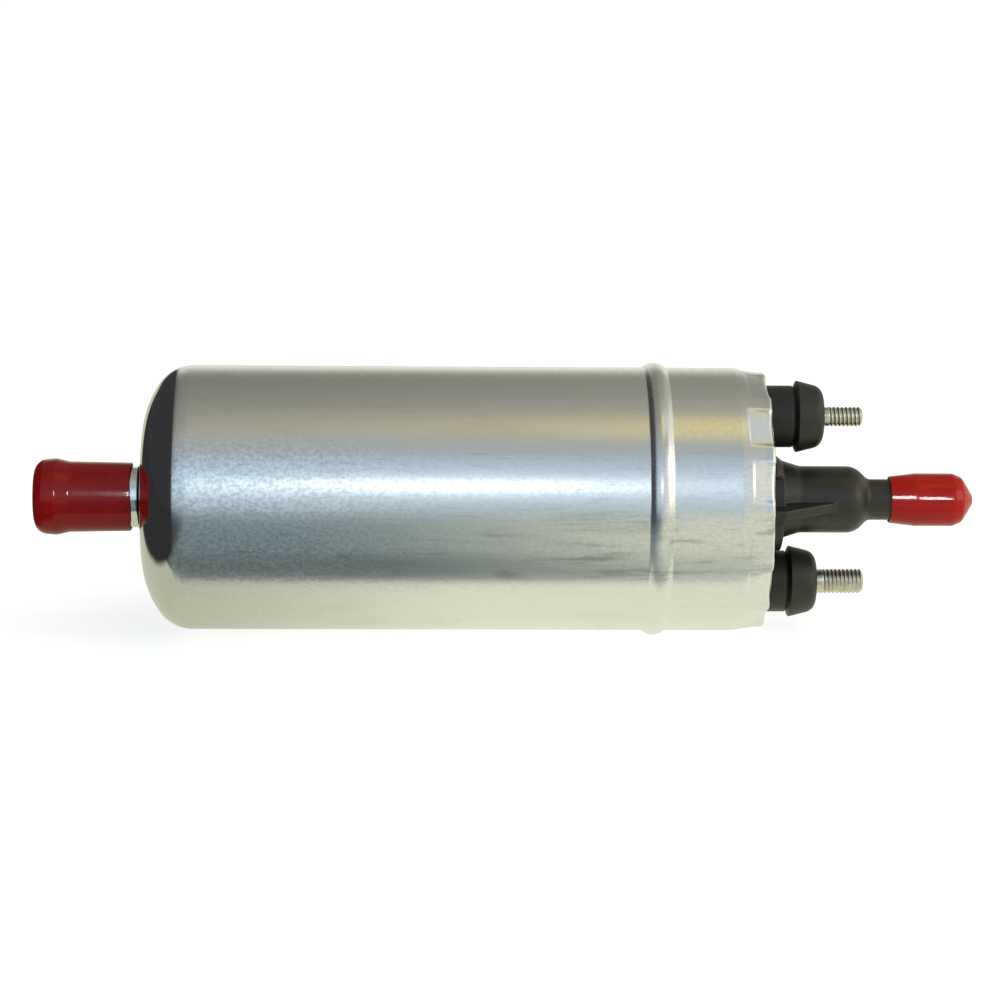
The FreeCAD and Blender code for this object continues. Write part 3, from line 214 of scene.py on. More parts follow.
def join(name, pieces):
    """One object that holds the meshes of several."""
    work = bmesh.new()
    for piece in pieces:
        work.from_mesh(piece.data)
    mesh = bpy.data.meshes.new(name)
    work.to_mesh(mesh)
    work.free()
    for piece in pieces:
        bpy.data.objects.remove(piece)
    return new_object(name, mesh)


def apply_modifiers(piece):
    """Replace a piece's mesh by the one that its modifiers make."""
    graph = bpy.context.evaluated_depsgraph_get()
    mesh = bpy.data.meshes.new_from_object(piece.evaluated_get(graph))
    piece.modifiers.clear()
    piece.data = mesh


def smooth(piece, degrees):
    """Smooth shading with a sharp edge wherever the faces meet at more than an angle."""
    piece.data.shade_smooth()
    piece.data.set_sharp_from_angle(angle=math.radians(degrees))


def dress(piece, body, slot, *nodes):
    """Finish a piece: its material, the body it rides on and the nodes it stands for."""
    piece.data.materials.clear()
    piece.data.materials.append(MATERIALS[slot])
    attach(piece, body)
    if nodes:
        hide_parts(*nodes)


class Nodes:
    """Short way to write a node tree."""

    def __init__(self, tree, place):
        self.tree = tree
        self.place = self.add("ShaderNodeTexCoord").outputs[place]

    def add(self, kind, **settings):
        node = self.tree.nodes.new(kind)
        for key, value in settings.items():
            setattr(node, key, value)
        return node

    def link(self, source, target):
        self.tree.links.new(source, target)

    def feed(self, value, socket):
        """Give a socket another's output, or a number or a colour of its own."""
        if isinstance(value, tuple):
            socket.default_value = (*value, 1)
        elif isinstance(value, (int, float)):
            socket.default_value = value
        else:
            self.link(value, socket)

    def axes(self):
        """The three coordinates of a place."""
        split = self.add("ShaderNodeSeparateXYZ")
        self.link(self.place, split.inputs[0])
        return split.outputs

    def spread(self, value, low, high, to_low=0, to_high=1):
        """Map a value smoothly from one range to another, held at both ends."""
        node = self.add("ShaderNodeMapRange", interpolation_type="SMOOTHSTEP")
        for key, number in zip(("From Min", "From Max", "To Min", "To Max"),
                               (low, high, to_low, to_high)):
            node.inputs[key].default_value = number
        self.link(value, node.inputs["Value"])
        return node.outputs["Result"]

    def within(self, value, rise, full, fade, end):
        """0, then 1 from full to fade, then 0 again."""
        return self.product(self.spread(value, rise, full), self.spread(value, end, fade))

    def math(self, operation, *values):
        node = self.add("ShaderNodeMath", operation=operation)
        for socket, value in zip(node.inputs, values):
            self.feed(value, socket)
        return node.outputs[0]

    def product(self, first, *others):
        for other in others:
            first = self.math("MULTIPLY", first, other)
        return first

    def total(self, first, *others):
        for other in others:
            first = self.math("ADD", first, other)
        return first

    def mix(self, share, first, second):
        """Colour between two colours, each a triple or a socket."""
        node = self.add("ShaderNodeMix", data_type="RGBA")
        self.link(share, node.inputs["Factor"])
        sockets = [item for item in node.inputs if item.type == "RGBA"]
        for socket, value in zip(sockets, (first, second)):
            self.feed(value, socket)
        return [item for item in node.outputs if item.type == "RGBA"][0]


class Surface(Nodes):
    """A material whose textures are laid out by the object's own coordinates."""

    def __init__(self, name):
        self.material = bpy.data.materials.new(name)
        self.material.use_nodes = True
        super().__init__(self.material.node_tree, "Object")
        self.shader = self.tree.nodes["Principled BSDF"]

    def noise(self, scale, detail, stretch=(1, 1, 1), roughness=0.55):
        """Noise with features of about 1 / scale metres, stretched by lower factors."""
        mapping = self.add("ShaderNodeMapping")
        mapping.inputs["Scale"].default_value = stretch
        self.link(self.place, mapping.inputs["Vector"])
        noise = self.add("ShaderNodeTexNoise")
        noise.inputs["Scale"].default_value = scale
        noise.inputs["Detail"].default_value = detail
        noise.inputs["Roughness"].default_value = roughness
        self.link(mapping.outputs["Vector"], noise.inputs["Vector"])
        return noise.outputs["Fac"]

    def bump(self, height, strength, distance):
        node = self.add("ShaderNodeBump")
        node.inputs["Strength"].default_value = strength
        node.inputs["Distance"].default_value = distance * MM
        self.link(height, node.inputs["Height"])
        self.link(node.outputs["Normal"], self.shader.inputs["Normal"])

    def drive(self, **values):
        for key, value in values.items():
            self.link(value, self.shader.inputs[key.replace("_", " ")])

    def set(self, **values):
        for key, value in values.items():
            self.shader.inputs[key.replace("_", " ")].default_value = value


def can_aluminium():
    """Drawn aluminium: hazy, its seen side stained and rubbed, its dome left polished."""
    make = Surface("can_aluminium")
    grain = make.noise(2600, 3, (0.5, 1, 1))
    mottle = make.noise(1500, 6, (0.75, 1, 1), 0.7)
    streaks = make.noise(2600, 3, (0.05, 1, 1), 0.6)
    smudges = make.noise(170, 4, (0.25, 1, 1), 0.6)
    rubs = make.noise(430, 5, (0.15, 1, 1), 0.6)
    patches = make.noise(75, 3, (0.5, 1, 1))
    along, _, up = make.axes()
    polish_end = DOME_FACE + POLISH_END * MM
    polish_blur = 0.0002
    drawn = make.spread(along, polish_end - polish_blur, polish_end + polish_blur)

    # The marks are between two heights, the stains fade to the right, the rubs are low.
    seen = make.product(make.spread(up, 0.0125, 0.0185, 1, 0.1),
                        make.spread(up, -0.0113, -0.0103, 0.1, 1))
    stain = make.product(seen, make.spread(along, -0.030, 0.010, 1, 0.3))
    low = make.product(seen, make.spread(up, -0.001, 0.004, 1, 0))
    rubbed = make.product(make.spread(rubs, 0.52, 0.68, 0, 0.75), low,
                          make.spread(patches, 0.40, 0.54, 0.2, 1))

    # Darker base colour at set heights: one thin line that runs to the bead, and two bands left
    # of its start, broken up by streaks.
    line = make.product(make.within(up, -0.0094, -0.0086, -0.0083, -0.0078),
                        make.spread(along, 0.034, 0.044))
    bands = make.product(make.total(make.within(up, -0.0106, -0.0098, -0.0080, -0.0066),
                                    make.within(up, -0.0012, 0.0004, 0.0030, 0.0042)),
                         make.within(along, 0.020, 0.036, 0.045, 0.052))
    dark_line_and_bands = make.product(make.spread(streaks, 0.40, 0.60, 0.35, 1),
                          make.total(make.product(line, 0.5), make.product(bands, 0.45)))
    scratched = make.product(make.spread(streaks, 0.57, 0.70, 0, 0.35), seen)

    spots = make.mix(make.spread(mottle, 0.38, 0.62), (0.56, 0.575, 0.60), (0.81, 0.82, 0.825))
    base = make.mix(stain, (0.705, 0.71, 0.715), spots)
    base = make.mix(make.spread(smudges, 0.52, 0.68, 0, 0.22), base, (0.55, 0.56, 0.575))
    base = make.mix(rubbed, base, (0.36, 0.375, 0.40))
    # Darker base colour along that line and those bands at set heights.
    base = make.mix(dark_line_and_bands, base, (0.38, 0.39, 0.40))
    base = make.mix(scratched, base, (0.42, 0.43, 0.45))
    base = make.mix(drawn, (0.66, 0.66, 0.66), base)

    roughness = make.add("ShaderNodeMix", data_type="FLOAT")
    make.link(drawn, roughness.inputs["Factor"])
    make.link(make.spread(grain, 0.3, 0.7, 0.05, 0.10), roughness.inputs[2])
    make.link(make.spread(mottle, 0.3, 0.7, 0.31, 0.23), roughness.inputs[3])
    make.drive(Base_Color=base, Roughness=roughness.outputs[0])
    make.set(Metallic=1.0)
    height = make.total(make.product(mottle, stain, 0.6), make.product(streaks, 0.25),
                        make.product(grain, 0.35))
    make.bump(make.product(height, drawn), 0.28, 0.02)
    return make.material


def metal(name, colour, worn, low=0.2, high=0.4, scale=900):
    """Machined metal with fine grain, an uneven tone and a roughness from low to high."""
    make = Surface(name)
    tone = make.noise(scale, 4)
    make.drive(Base_Color=make.mix(make.spread(tone, 0.35, 0.65), colour, worn),
               Roughness=make.spread(tone, 0.3, 0.7, low, high))
    make.set(Metallic=1.0)
    make.bump(tone, 0.08, 0.03)
    return make.material


def vinyl(name, colour, deep):
    """Dip-moulded vinyl: wet gloss over a slightly wavy skin."""
    make = Surface(name)
    tone = make.noise(160, 3)
    make.drive(Base_Color=make.mix(make.spread(tone, 0.35, 0.65), colour, deep),
               Roughness=make.spread(make.noise(500, 3), 0.3, 0.7, 0.16, 0.26))
    make.set(Specular_IOR_Level=0.06, Coat_Weight=0.35, Coat_Roughness=0.04, IOR=1.5)
    make.bump(tone, 0.35, 0.15)
    return make.material


def moulded(name, colour, dusty, low, high):
    """Moulded plastic or rubber with a fine texture and dust, its roughness low to high."""
    make = Surface(name)
    grain = make.noise(1400, 5)
    make.drive(Base_Color=make.mix(make.spread(make.noise(220, 4), 0.45, 0.7), colour, dusty),
               Roughness=make.spread(grain, 0.3, 0.7, low, high))
    make.bump(grain, 0.12, 0.04)
    return make.material


MATERIALS = {
    "can_aluminium": can_aluminium(),
    "polished_tube": metal(
        "polished_tube", (0.80, 0.81, 0.82), (0.74, 0.75, 0.77), 0.05, 0.09),
    "inlet_vinyl": vinyl("inlet_vinyl", (0.36, 0.008, 0.007), (0.30, 0.005, 0.006)),
    "outlet_vinyl": vinyl("outlet_vinyl", (0.54, 0.010, 0.007), (0.46, 0.007, 0.006)),
    "cover_plastic": moulded(
        "cover_plastic", (0.016, 0.0135, 0.009), (0.026, 0.022, 0.015), 0.36, 0.48),
    "boot_rubber": moulded(
        "boot_rubber", (0.010, 0.009, 0.0065), (0.018, 0.016, 0.012), 0.44, 0.56),
    "stud_steel": metal(
        "stud_steel", (0.62, 0.60, 0.52), (0.50, 0.48, 0.40), 0.26, 0.40, 1500),
    "sintered_steel": metal(
        "sintered_steel", (0.42, 0.42, 0.43), (0.34, 0.34, 0.35), 0.35, 0.5),
    "bright_steel": metal(
        "bright_steel", (0.66, 0.66, 0.67), (0.56, 0.56, 0.57), 0.15, 0.28),
    "tube_steel": metal("tube_steel", (0.28, 0.28, 0.29), (0.20, 0.20, 0.21), 0.4, 0.55),
    "lamination_steel": metal(
        "lamination_steel", (0.38, 0.38, 0.39), (0.28, 0.28, 0.30), 0.3, 0.45),
    "ferrite": moulded("ferrite", (0.055, 0.055, 0.060), (0.085, 0.085, 0.090), 0.55, 0.7),
    "copper": metal("copper", (0.75, 0.34, 0.18), (0.62, 0.26, 0.13), 0.2, 0.35),
    "brass": metal("brass", (0.74, 0.57, 0.27), (0.62, 0.46, 0.20), 0.2, 0.35),
    "bronze": metal("bronze", (0.55, 0.39, 0.20), (0.45, 0.31, 0.15), 0.35, 0.5),
    "carbon": moulded("carbon", (0.035, 0.035, 0.037), (0.055, 0.055, 0.057), 0.45, 0.6),
    "moulding": moulded("moulding", (0.085, 0.055, 0.038), (0.110, 0.078, 0.058), 0.45, 0.6),
    "nylon": moulded("nylon", (0.72, 0.70, 0.62), (0.62, 0.60, 0.52), 0.35, 0.5),
}


def dress_inside():
    """Every node that stays as it is gets the finish that the record names for it."""
    for part in frame["record"]["subparts"]:
        node = frame["nodes"][part["node"]]
        node.data.materials.clear()
        node.data.materials.append(MATERIALS[part["material_slot"]])
        smooth(node, 30)


def crimp_scoops():
    """Scoops that the jaws left: middle, half width, share of depth, start, pull of the rim.

    The turn runs from the side away from the camera over the top. The first five scoops
    are in the photo, by their elevation from its side. The others can't be seen in it and
    vary at random.
    """
    seen = [(75.8, 11.5, 0.45, 117.4, 0.5), (47.0, 10.2, 1.0, 117.0, 0.15),
            (21.0, 9.6, 0.8, 117.5, 0.1), (-4.2, 11.6, 0.8, 117.3, 0.1),
            (-30.2, 11.6, 0.8, 117.0, 0.2)]
    scoops = [(math.radians(180 - elevation), math.radians(half), depth, start, pull)
              for elevation, half, depth, start, pull in seen]
    hidden_count = 9
    first_turn = 104.2
    step = 25.5
    for index in range(1, hidden_count + 1):
        middle = first_turn - index * step + random.uniform(-1.5, 1.5)
        half = random.uniform(9.6, 11.6)
        depth = random.uniform(0.5, 1.0)
        start = random.uniform(116.9, 117.6)
        pull = random.uniform(0.1, 0.4)
        scoops.append((math.radians(middle), math.radians(half), depth, start, pull))
    return scoops


def pressed_by(scoops):
    """Shape of the can's crimp: its scoops, and the edge that they pull back unevenly."""
    half_wall = CAN_WALL / 2
    lip_clearance = 0.05
    lip_blend = 0.7
    edge_length = 1.6
    step_depth = 0.35
    step_length = 0.7
    scoop_slope = 0.231
    scoop_flank = 0.8
    scoop_round = 0.75
    edge_pull, edge_wave = 0.12, 0.08

    def press(station, radius, turn):
        drop = min(1.0, max(0.0, (station - CRIMP_START) / CRIMP_TAPER))
        outer = CAN_RADIUS - (CAN_RADIUS - CRIMP_RADIUS) * drop
        if station > LIP_START + lip_clearance:
            share = smoothstep(LIP_RADIUS, CRIMP_RADIUS - lip_blend, radius)
        else:
            share = float(station > CRIMP_START and radius > outer - half_wall)
        if share == 0:
            return station, radius
        depth_here = 0.0
        pull_here = edge_pull + edge_wave * math.sin(9 * turn)
        for middle, half, depth, start, pull in scoops:
            away = abs((turn - middle + math.pi) % (2 * math.pi) - math.pi) / half
            if away > 1:
                continue
            hollow = smoothstep(1, scoop_flank, away) * (1 - scoop_round * away ** 2)
            pressed = (step_depth * smoothstep(start, start + step_length, station)
                       + scoop_slope * max(0.0, station - start))
            depth_here = max(depth_here, depth * hollow * max(0.0, outer - CAN_RADIUS + pressed))
            pull_here += pull * hollow
        at_edge = smoothstep(CAN_END - edge_length, CAN_END, station)
        return station - at_edge * pull_here * share, radius - depth_here * share

    return press


def build_can():
    """Can with its dome, bead and the crimped edge that jaws pressed over the cover."""
    straight = 0.2
    corner = CAN_RADIUS - DOME_DEPTH * math.tan(DOME_SLOPE)
    edge_turn = math.tan(DOME_SLOPE / 2)
    face_turn = math.tan((math.pi / 2 - DOME_SLOPE) / 2)
    slope = DOME_DEPTH / math.cos(DOME_SLOPE)
    face_rounding = (slope - DOME_EDGE_ROUNDING * edge_turn - straight) / face_turn
    bead_rounding = 3.0
    bead_foot_rounding = 0.5
    neck_rounding = 3.0
    edge_rounding = 0.8
    lip_rounding = 0.4
    inner = CAN_RADIUS - CAN_WALL
    neck_inner = CRIMP_RADIUS - CAN_WALL
    neck_start = CRIMP_START + CRIMP_TAPER
    tube_hole = TUBE_RADIUS + 0.01
    points = fillet([
        (0, tube_hole),
        (0, corner, face_rounding),
        (DOME_DEPTH, CAN_RADIUS, DOME_EDGE_ROUNDING),
        (BEAD_STATION - BEAD_HALF, CAN_RADIUS, bead_foot_rounding),
        (BEAD_STATION, CAN_RADIUS + BEAD_CORNER_HEIGHT, bead_rounding),
        (BEAD_STATION + BEAD_HALF, CAN_RADIUS, bead_foot_rounding),
        (CRIMP_START, CAN_RADIUS, neck_rounding),
        (neck_start, CRIMP_RADIUS, neck_rounding),
        (CAN_END, CRIMP_RADIUS, edge_rounding),
        (CAN_END, LIP_RADIUS, lip_rounding),
        (LIP_START, LIP_RADIUS),
        (LIP_START, neck_inner),
        (neck_start, neck_inner),
        (CRIMP_START, inner),
        (DOME_DEPTH + CAN_WALL * edge_turn, inner, DOME_EDGE_ROUNDING - CAN_WALL),
        (CAN_WALL, corner - CAN_WALL * face_turn, face_rounding - CAN_WALL),
        (CAN_WALL, tube_hole),
    ], 14)

    # Long straight runs stay whole, apart from the crimp and the dome's flat face.
    step = 0.25
    crimp_margin = 0.5
    face_margin = 0.01
    fine = [point for point in divide(points, step)
            if point in points or point.x > CRIMP_START - crimp_margin or point.x < face_margin]
    piece = lathe("can_shell", fine, 512, shape=pressed_by(crimp_scoops()))
    smooth(piece, 28)
    dress(piece, "housing", "can_aluminium", "pump_can")


def build_tube():
    """Turned suction tube with its staked collar, its hose barb and its flange inside."""
    bore = 4.5
    flange = 8.5
    barb = 6.4
    barb_start = -14.0
    tip = -20.3
    points = fillet([
        (3.0, bore), (3.0, flange, 0.3), (CAN_WALL, flange, 0.2), (CAN_WALL, TUBE_RADIUS),
        (0.0, TUBE_RADIUS), (0.0, 7.2, 0.15), (-0.9, TUBE_RADIUS, 0.7),
        (barb_start, TUBE_RADIUS, 0.1), (barb_start, barb, 0.15), (-18.0, TUBE_RADIUS, 0.4),
        (tip + 0.8, TUBE_RADIUS, 0.3), (tip, 5.2, 0.3), (tip, bore, 0.2),
    ], 6)
    piece = lathe("suction_tube", points, 128)
    smooth(piece, 40)
    dress(piece, "housing", "polished_tube", "inlet_spigot")


def build_inlet_cap():
    """Dark red cap: a sleeve with a thick closed end and a slightly ragged rim."""
    bore = 6.45
    rim = -2.1
    rim_zone = -3.2
    floor = -20.5
    set_back, wave, ripple = 0.16, 0.14, 0.02
    points = fillet([
        (rim, bore, 0.12), (rim, 6.75, 0.16), (-14.4, 6.95, 2.5), (-17.0, 7.56, 2.2),
        (-21.3, 7.15, 2.7), (-21.5, 0), (floor, 0), (floor, bore, 0.3),
    ], 12)

    def ragged(station, radius, turn):
        if station < rim_zone:
            return station, radius
        pull = set_back + wave * math.sin(3 * turn + 0.6) + ripple * math.sin(11 * turn)
        return station - pull, radius

    piece = lathe("inlet_cap_skin", points, 128, shape=ragged)
    smooth(piece, 50)
    dress(piece, "inlet_cap", "inlet_vinyl", "inlet_cap")


def build_outlet_cap():
    """Bright red cap whose end keeps the nub where the dipped vinyl dripped off."""
    bore = 4.4
    rim = 147.5
    floor = 160.9
    radius = 5.25
    tip = 164.1
    points = fillet([
        (rim, bore, 0.1), (floor, bore, 0.2), (floor, 0), (tip, 0), (tip, 0.9, 0.6),
        (162.9, 3.0, 1.2), (161.9, 4.5, 1.6), (160.1, radius, 1.6), (152.6, radius, 6.0),
        (rim, 4.65, 0.12),
    ], 10)
    piece = lathe("outlet_cap_skin", points, 128)
    smooth(piece, 50)
    dress(piece, "outlet_cap", "outlet_vinyl", "outlet_cap")


def build_stud(pole, radius, depth, start, end, height):
    """Stud whose thread is one helical ridge, run out at its foot, with its head inside."""
    pitch = 0.8
    head_station = 110.4
    head_end = 113.0
    chamfer = 0.5
    thread_end = end - chamfer
    relief = 0.35
    rows_per_turn = 12
    root_share = 0.95
    runout_drop = 0.3
    middle_radius = radius - depth / 2
    rows = round((thread_end - start) / pitch * rows_per_turn)
    points = [
        (head_station, 0), (head_station, STUD_HEAD_RADIUS), (head_end, STUD_HEAD_RADIUS),
        (head_end, middle_radius), (start - relief, middle_radius),
        *((start + (thread_end - start) * row / rows, radius) for row in range(rows + 1)),
        (end, middle_radius - chamfer), (end, 0),
    ]

    def ridge(station, reach, turn):
        tolerance = 0.01
        if station < start or station > thread_end + tolerance or reach < radius - tolerance:
            return station, reach
        phase = ((station - start) / pitch - turn / (2 * math.pi)) % 1
        crest = 1 - abs(2 * phase - 1)
        cut = depth * (1 - smoothstep(0.0, root_share, crest))
        runout = smoothstep(start, start + pitch, station)
        return station, radius - cut * runout - depth * runout_drop * (1 - runout)

    piece = lathe(f"stud_{pole}_thread", points, 96, height, ridge)
    smooth(piece, 45)
    dress(piece, "housing", "stud_steel", "stud_" + pole)


def build_boot(pole, stud_radius, height, crest, end):
    """Rubber boot: a sleeve, a fine groove, then a crest that tapers to a rounded end."""
    start = 122.5
    bore = 4.85
    bore_end = 131.2
    stud_hole = stud_radius + 0.1
    sleeve = 6.1
    groove = 5.8
    points = fillet([
        (start, bore, 0.1), (bore_end, bore, 0.2), (bore_end, stud_hole), (end, stud_hole, 0.2),
        (end, 5.75, 2.4), (crest, 7.1, 0.25), (crest - 0.42, 6.05, 0.1),
        (crest - 0.62, groove, 0.06), (crest - 0.85, sleeve, 0.12), (start, sleeve, 0.2),
    ], 7)
    piece = lathe(f"boot_{pole}_rubber", points, 128, height)
    smooth(piece, 40)
    dress(piece, f"{pole}_boot", "boot_rubber", "boot_" + pole)


def build_cover_base():
    """The cover's skirt in the can, its hub and the recess behind it."""
    skirt = 24.45
    skirt_inner = 20.9
    skirt_start = 100.0
    neck = CRIMP_RADIUS - CAN_WALL - 0.05
    chamber = 4.8
    web_start = 111.5
    base = lathe("cover_base", fillet([
        (skirt_start, skirt_inner), (skirt_start, skirt, 0.3), (CRIMP_START, skirt),
        (CRIMP_START + CRIMP_TAPER, neck), (LIP_START, neck), (LIP_START, HUB_RADIUS),
        (HUB_STATION, HUB_RADIUS, 0.3), (HUB_STATION, chamber), (web_start, chamber),
        (web_start, 10.5), (110.0, 10.5), (110.0, skirt_inner),
    ], 5), 192)
    smooth(base, 35)
    dress(base, "housing", "cover_plastic", "connection_cover")


def build_nozzle():
    """The nozzle with its collar and gussets, melted into one skin with soft corners."""
    chamber = 4.9
    chamber_end = 139.4
    foot_radius = 9.2
    barb_start = 155.5
    nozzle = lathe("nozzle", fillet([
        (NOZZLE_FOOT, chamber), (NOZZLE_FOOT, foot_radius), (124.4, foot_radius),
        (126.0, 7.75, 0.8), (129.6, NOZZLE_RADIUS, 3.0), (140.6, NOZZLE_RADIUS, 4.1),
        (143.15, NECK_RADIUS, 1.6), (barb_start, NECK_RADIUS), (barb_start, 4.35),
        (NOZZLE_END, 3.35, 0.3), (NOZZLE_END, NOZZLE_BORE, 0.2),
        (chamber_end, NOZZLE_BORE), (chamber_end, chamber),
    ], 8), 128)
    root = 5.4
    gusset_end = 136.6
    ribs = [collar("collar", NOZZLE_FOOT, 125.8, root, 10.2, 6.0)]
    for name, side in (("front_gusset", -1), ("back_gusset", 1)):
        ribs.append(plate(name, [
            (NOZZLE_FOOT, root * side), (NOZZLE_FOOT, 14.0 * side), (125.5, 14.0 * side),
            (gusset_end, 6.5 * side), (gusset_end, root * side)], 0.95))
    nozzle = join("cover_nozzle", [nozzle, *ribs])
    remesh = nozzle.modifiers.new("remesh", "REMESH")
    remesh.mode = "VOXEL"
    remesh.voxel_size = 0.16 * MM
    relax = nozzle.modifiers.new("relax", "SMOOTH")
    relax.factor = 0.5
    relax.iterations = 3
    apply_modifiers(nozzle)
    nozzle.data.shade_smooth()
    dress(nozzle, "housing", "cover_plastic")


def build_post(pole, stud_radius, height):
    """Terminal post that carries a stud, under its boot."""
    radius = 4.75
    end = 131.0
    stud_hole = stud_radius + 0.1
    post = lathe(f"cover_post_{pole}", fillet([
        (NOZZLE_FOOT, stud_hole), (NOZZLE_FOOT, radius), (end, radius, 0.4), (end, stud_hole),
    ], 5), 96, height)
    smooth(post, 35)
    dress(post, "housing", "cover_plastic")


def build_floor():
    """Pale floor, white to the eye, with the pump's shadow; mirrored in metal it has tones."""
    reach = 6.0
    gap = 0.00002
    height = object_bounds()[0].z - gap
    corners = [(-reach, -reach), (reach, -reach), (reach, reach), (-reach, reach)]
    floor = mesh_object("studio_floor", [(x, y, height) for x, y in corners], [(0, 1, 2, 3)])
    make = Surface("studio_floor")
    make.set(Base_Color=(0.84, 0.84, 0.86, 1), Roughness=0.9, Specular_IOR_Level=0.1,
             Emission_Color=(0.97, 0.98, 1, 1))
    paths = make.add("ShaderNodeLightPath")
    make.drive(Emission_Strength=make.product(paths.outputs["Is Camera Ray"], 0.68))

    # Slate grey under the pump and behind it, cream before it, and dark to the left.
    along, aside, _ = make.axes()
    dark = (0.04, 0.04, 0.042)
    far = make.mix(make.spread(along, -0.030, 0.075), (0.22, 0.29, 0.30), (0.86, 0.88, 0.69))
    near = make.mix(make.spread(along, -0.010, 0.075), (0.18, 0.215, 0.21), (0.66, 0.70, 0.58))
    slate = make.mix(make.spread(aside, -0.062, -0.048), far, near)
    slate_corner = make.math("SUBTRACT", along, make.product(aside, 0.12))
    slate = make.mix(make.spread(slate_corner, -0.073, -0.065), dark, slate)
    cream = make.mix(make.spread(along, -0.055, 0.020), (0.64, 0.66, 0.50), (1.0, 1.02, 0.80))
    cream_corner = make.total(along, make.product(aside, 0.35))
    cream = make.mix(make.spread(cream_corner, -0.0905, -0.0805), dark, cream)
    toned = make.mix(make.spread(aside, -0.0330, -0.0310), slate, cream)

    glow = make.add("ShaderNodeEmission")
    make.link(toned, glow.inputs["Color"])
    blend = make.add("ShaderNodeMixShader")
    make.link(paths.outputs["Is Glossy Ray"], blend.inputs[0])
    make.link(make.shader.outputs[0], blend.inputs[1])
    make.link(glow.outputs[0], blend.inputs[2])
    make.link(blend.outputs[0], make.tree.nodes["Material Output"].inputs["Surface"])
    floor.data.materials.append(make.material)


def build_world():
    """Soft room: blue-white ahead of the pump, olive grey above, dark left and cream right."""
    world = bpy.data.worlds.new("studio")
    bpy.context.scene.world = world
    world.use_nodes = True
    make = Nodes(world.node_tree, "Generated")
    along, aside, up = make.axes()

    # Share of the half turn about the pump's axis, from the camera's side over the top.
    share = make.math("DIVIDE", make.math("ARCTAN2", up, make.product(aside, -1)), math.pi)

    def turned(low, high):
        """0 to 1 between two angles in degrees."""
        return make.spread(share, low / 180, high / 180)

    ramp = make.add("ShaderNodeValToRGB")
    make.link(share, ramp.inputs["Fac"])
    bands = [
        (0, (0.41, 0.50, 0.55)), (14, (0.55, 0.68, 0.76)), (21, (0.66, 0.82, 0.92)),
        (30, (0.60, 0.74, 0.84)), (39, (0.50, 0.62, 0.73)), (48, (0.41, 0.49, 0.56)),
        (58, (0.37, 0.41, 0.42)), (75, (0.46, 0.46, 0.39)), (100, (0.37, 0.37, 0.31)),
        (125, (0.30, 0.30, 0.25)), (150, (0.27, 0.27, 0.23)), (168, (0.85, 0.85, 0.72)),
        (178, (0.95, 0.95, 0.85)),
    ]
    stops = ramp.color_ramp.elements
    for index, (angle, colour) in enumerate(bands):
        stop = stops[index] if index < 2 else stops.new(angle / 180)
        stop.position = angle / 180
        stop.color = (*colour, 1)

    # A shade above the left half, and a golden stripe above the right half.
    shade = make.product(make.spread(along, 0.07, -0.06), turned(62, 82), turned(165, 140), 0.27)
    colour = make.mix(shade, ramp.outputs["Color"], (0.0, 0.0, 0.0))
    golden = make.product(make.spread(along, 0.045, 0.075), turned(65, 69), turned(92, 85))
    colour = make.mix(golden, colour, (0.98, 0.81, 0.34))

    # What the crimp's scoops and the dome's edge mirror: bands at the right, dark at the left.
    scooped = make.mix(turned(52, 60), (0.80, 0.78, 0.64), (0.36, 0.36, 0.29))
    scooped = make.mix(turned(75, 79), scooped, (0.62, 0.70, 0.76))
    scooped = make.mix(turned(98, 104), scooped, (0.42, 0.42, 0.35))
    colour = make.mix(make.spread(along, 0.34, 0.42), colour, scooped)
    colour = make.mix(make.spread(along, 0.60, 0.75), colour, (0.86, 0.83, 0.70))
    bend = make.math("COSINE", make.math("SUBTRACT", make.product(share, math.pi / 2), 0.12))
    left = make.total(along, make.product(bend, 0.67))
    colour = make.mix(make.spread(left, -0.075, -0.045), (0.04, 0.04, 0.043), colour)

    paths = make.add("ShaderNodeLightPath")
    colour = make.mix(paths.outputs["Is Camera Ray"], colour, (1.0, 1.0, 1.0))
    background = make.tree.nodes["Background"]
    make.link(colour, background.inputs["Color"])
    background.inputs["Strength"].default_value = 1.2


def lamp(name, place, size, power, colour):
    """Soft rectangular lamp aimed at the pump."""
    data = bpy.data.lights.new(name, "AREA")
    data.shape = "RECTANGLE"
    data.size, data.size_y = size
    data.energy = power
    data.color = colour
    made = new_object(name, data)
    made.location = place
    made.rotation_euler = (-made.location).to_track_quat("-Z", "Y").to_euler()
    return made


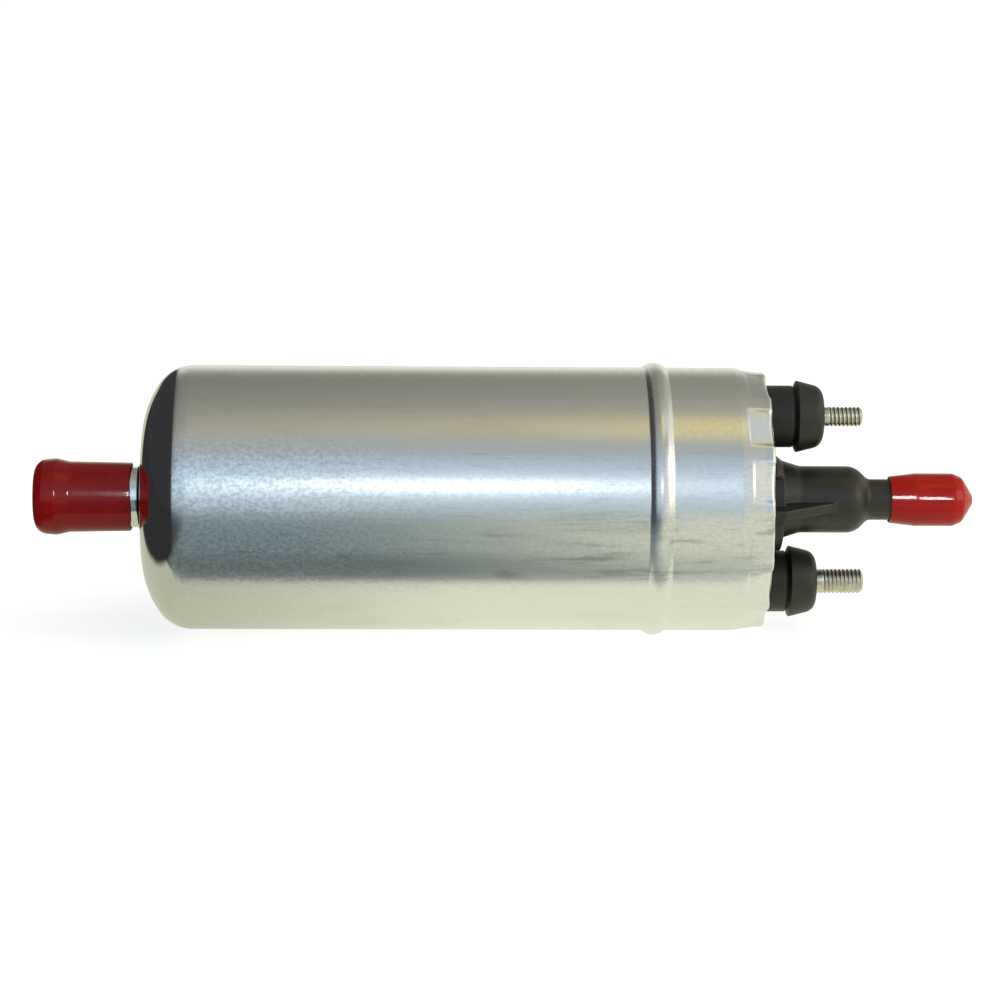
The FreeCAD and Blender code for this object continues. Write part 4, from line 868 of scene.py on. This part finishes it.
def glint(name, place, size, power, caps):
    """Small lamp that only the gloss of the caps shows."""
    made = lamp(name, place, size, power, (1.0, 1.0, 1.0))
    receivers = bpy.data.collections.new(name + "_receivers")
    for cap in caps:
        receivers.objects.link(bpy.data.objects[cap])
    made.light_linking.receiver_collection = receivers
    made.visible_diffuse = False


def build_lamps():
    """A key lamp above the camera, a side lamp, and the glints on the two caps."""
    key_place = (0.005, -0.690, 0.302)
    both_caps = ["inlet_cap_skin", "outlet_cap_skin"]
    lamp("key", key_place, (0.06, 0.018), 0.14, (0.9, 0.95, 1.0))
    lamp("side", (1.05, -0.44, 0.41), (0.55, 0.60), 2.1, (1.0, 0.97, 0.88))
    glint("inlet_glint", key_place, (0.09, 0.16), 2.5, both_caps)
    glint("outlet_glint", (0.222, -0.690, 0.243), (0.035, 0.13), 0.85, both_caps[1:])


def build_camera():
    """Long lens ahead of the can's left half, looking a little to the right and down."""
    elevation = math.radians(13.8)
    distance = 0.6765
    foot = Vector((DOME_FACE + 46.35 * MM, 0, 0))
    aim = Vector((DOME_FACE + 70.31 * MM, 0, -0.385 * MM))
    roll = math.radians(0.71)
    data = bpy.data.cameras.new("camera")
    data.sensor_width = 36
    data.lens = 123.2
    made = new_object("camera", data)
    made.location = foot + Vector((0, -math.cos(elevation), math.sin(elevation))) * distance
    view = (aim - made.location).to_track_quat("-Z", "Y").to_matrix()
    made.rotation_euler = (view @ Matrix.Rotation(roll, 3, "Z")).to_euler()
    bpy.context.scene.camera = made


dress_inside()
build_can()
build_tube()
build_inlet_cap()
build_outlet_cap()
build_stud("plus", 2.47, 0.28, 134.5, 142.8, -TERMINAL_HEIGHT)
build_stud("minus", 1.97, 0.24, 134.6, 141.5, TERMINAL_HEIGHT)
build_boot("plus", 2.5, -TERMINAL_HEIGHT, 127.95, 133.35)
build_boot("minus", 2.0, TERMINAL_HEIGHT, 128.4, 133.7)
build_cover_base()
build_nozzle()
build_post("minus", 2.0, TERMINAL_HEIGHT)
build_post("plus", 2.5, -TERMINAL_HEIGHT)

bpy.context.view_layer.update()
build_floor()
build_world()
build_lamps()
build_camera()

bpy.context.scene.view_settings.view_transform = "Standard"
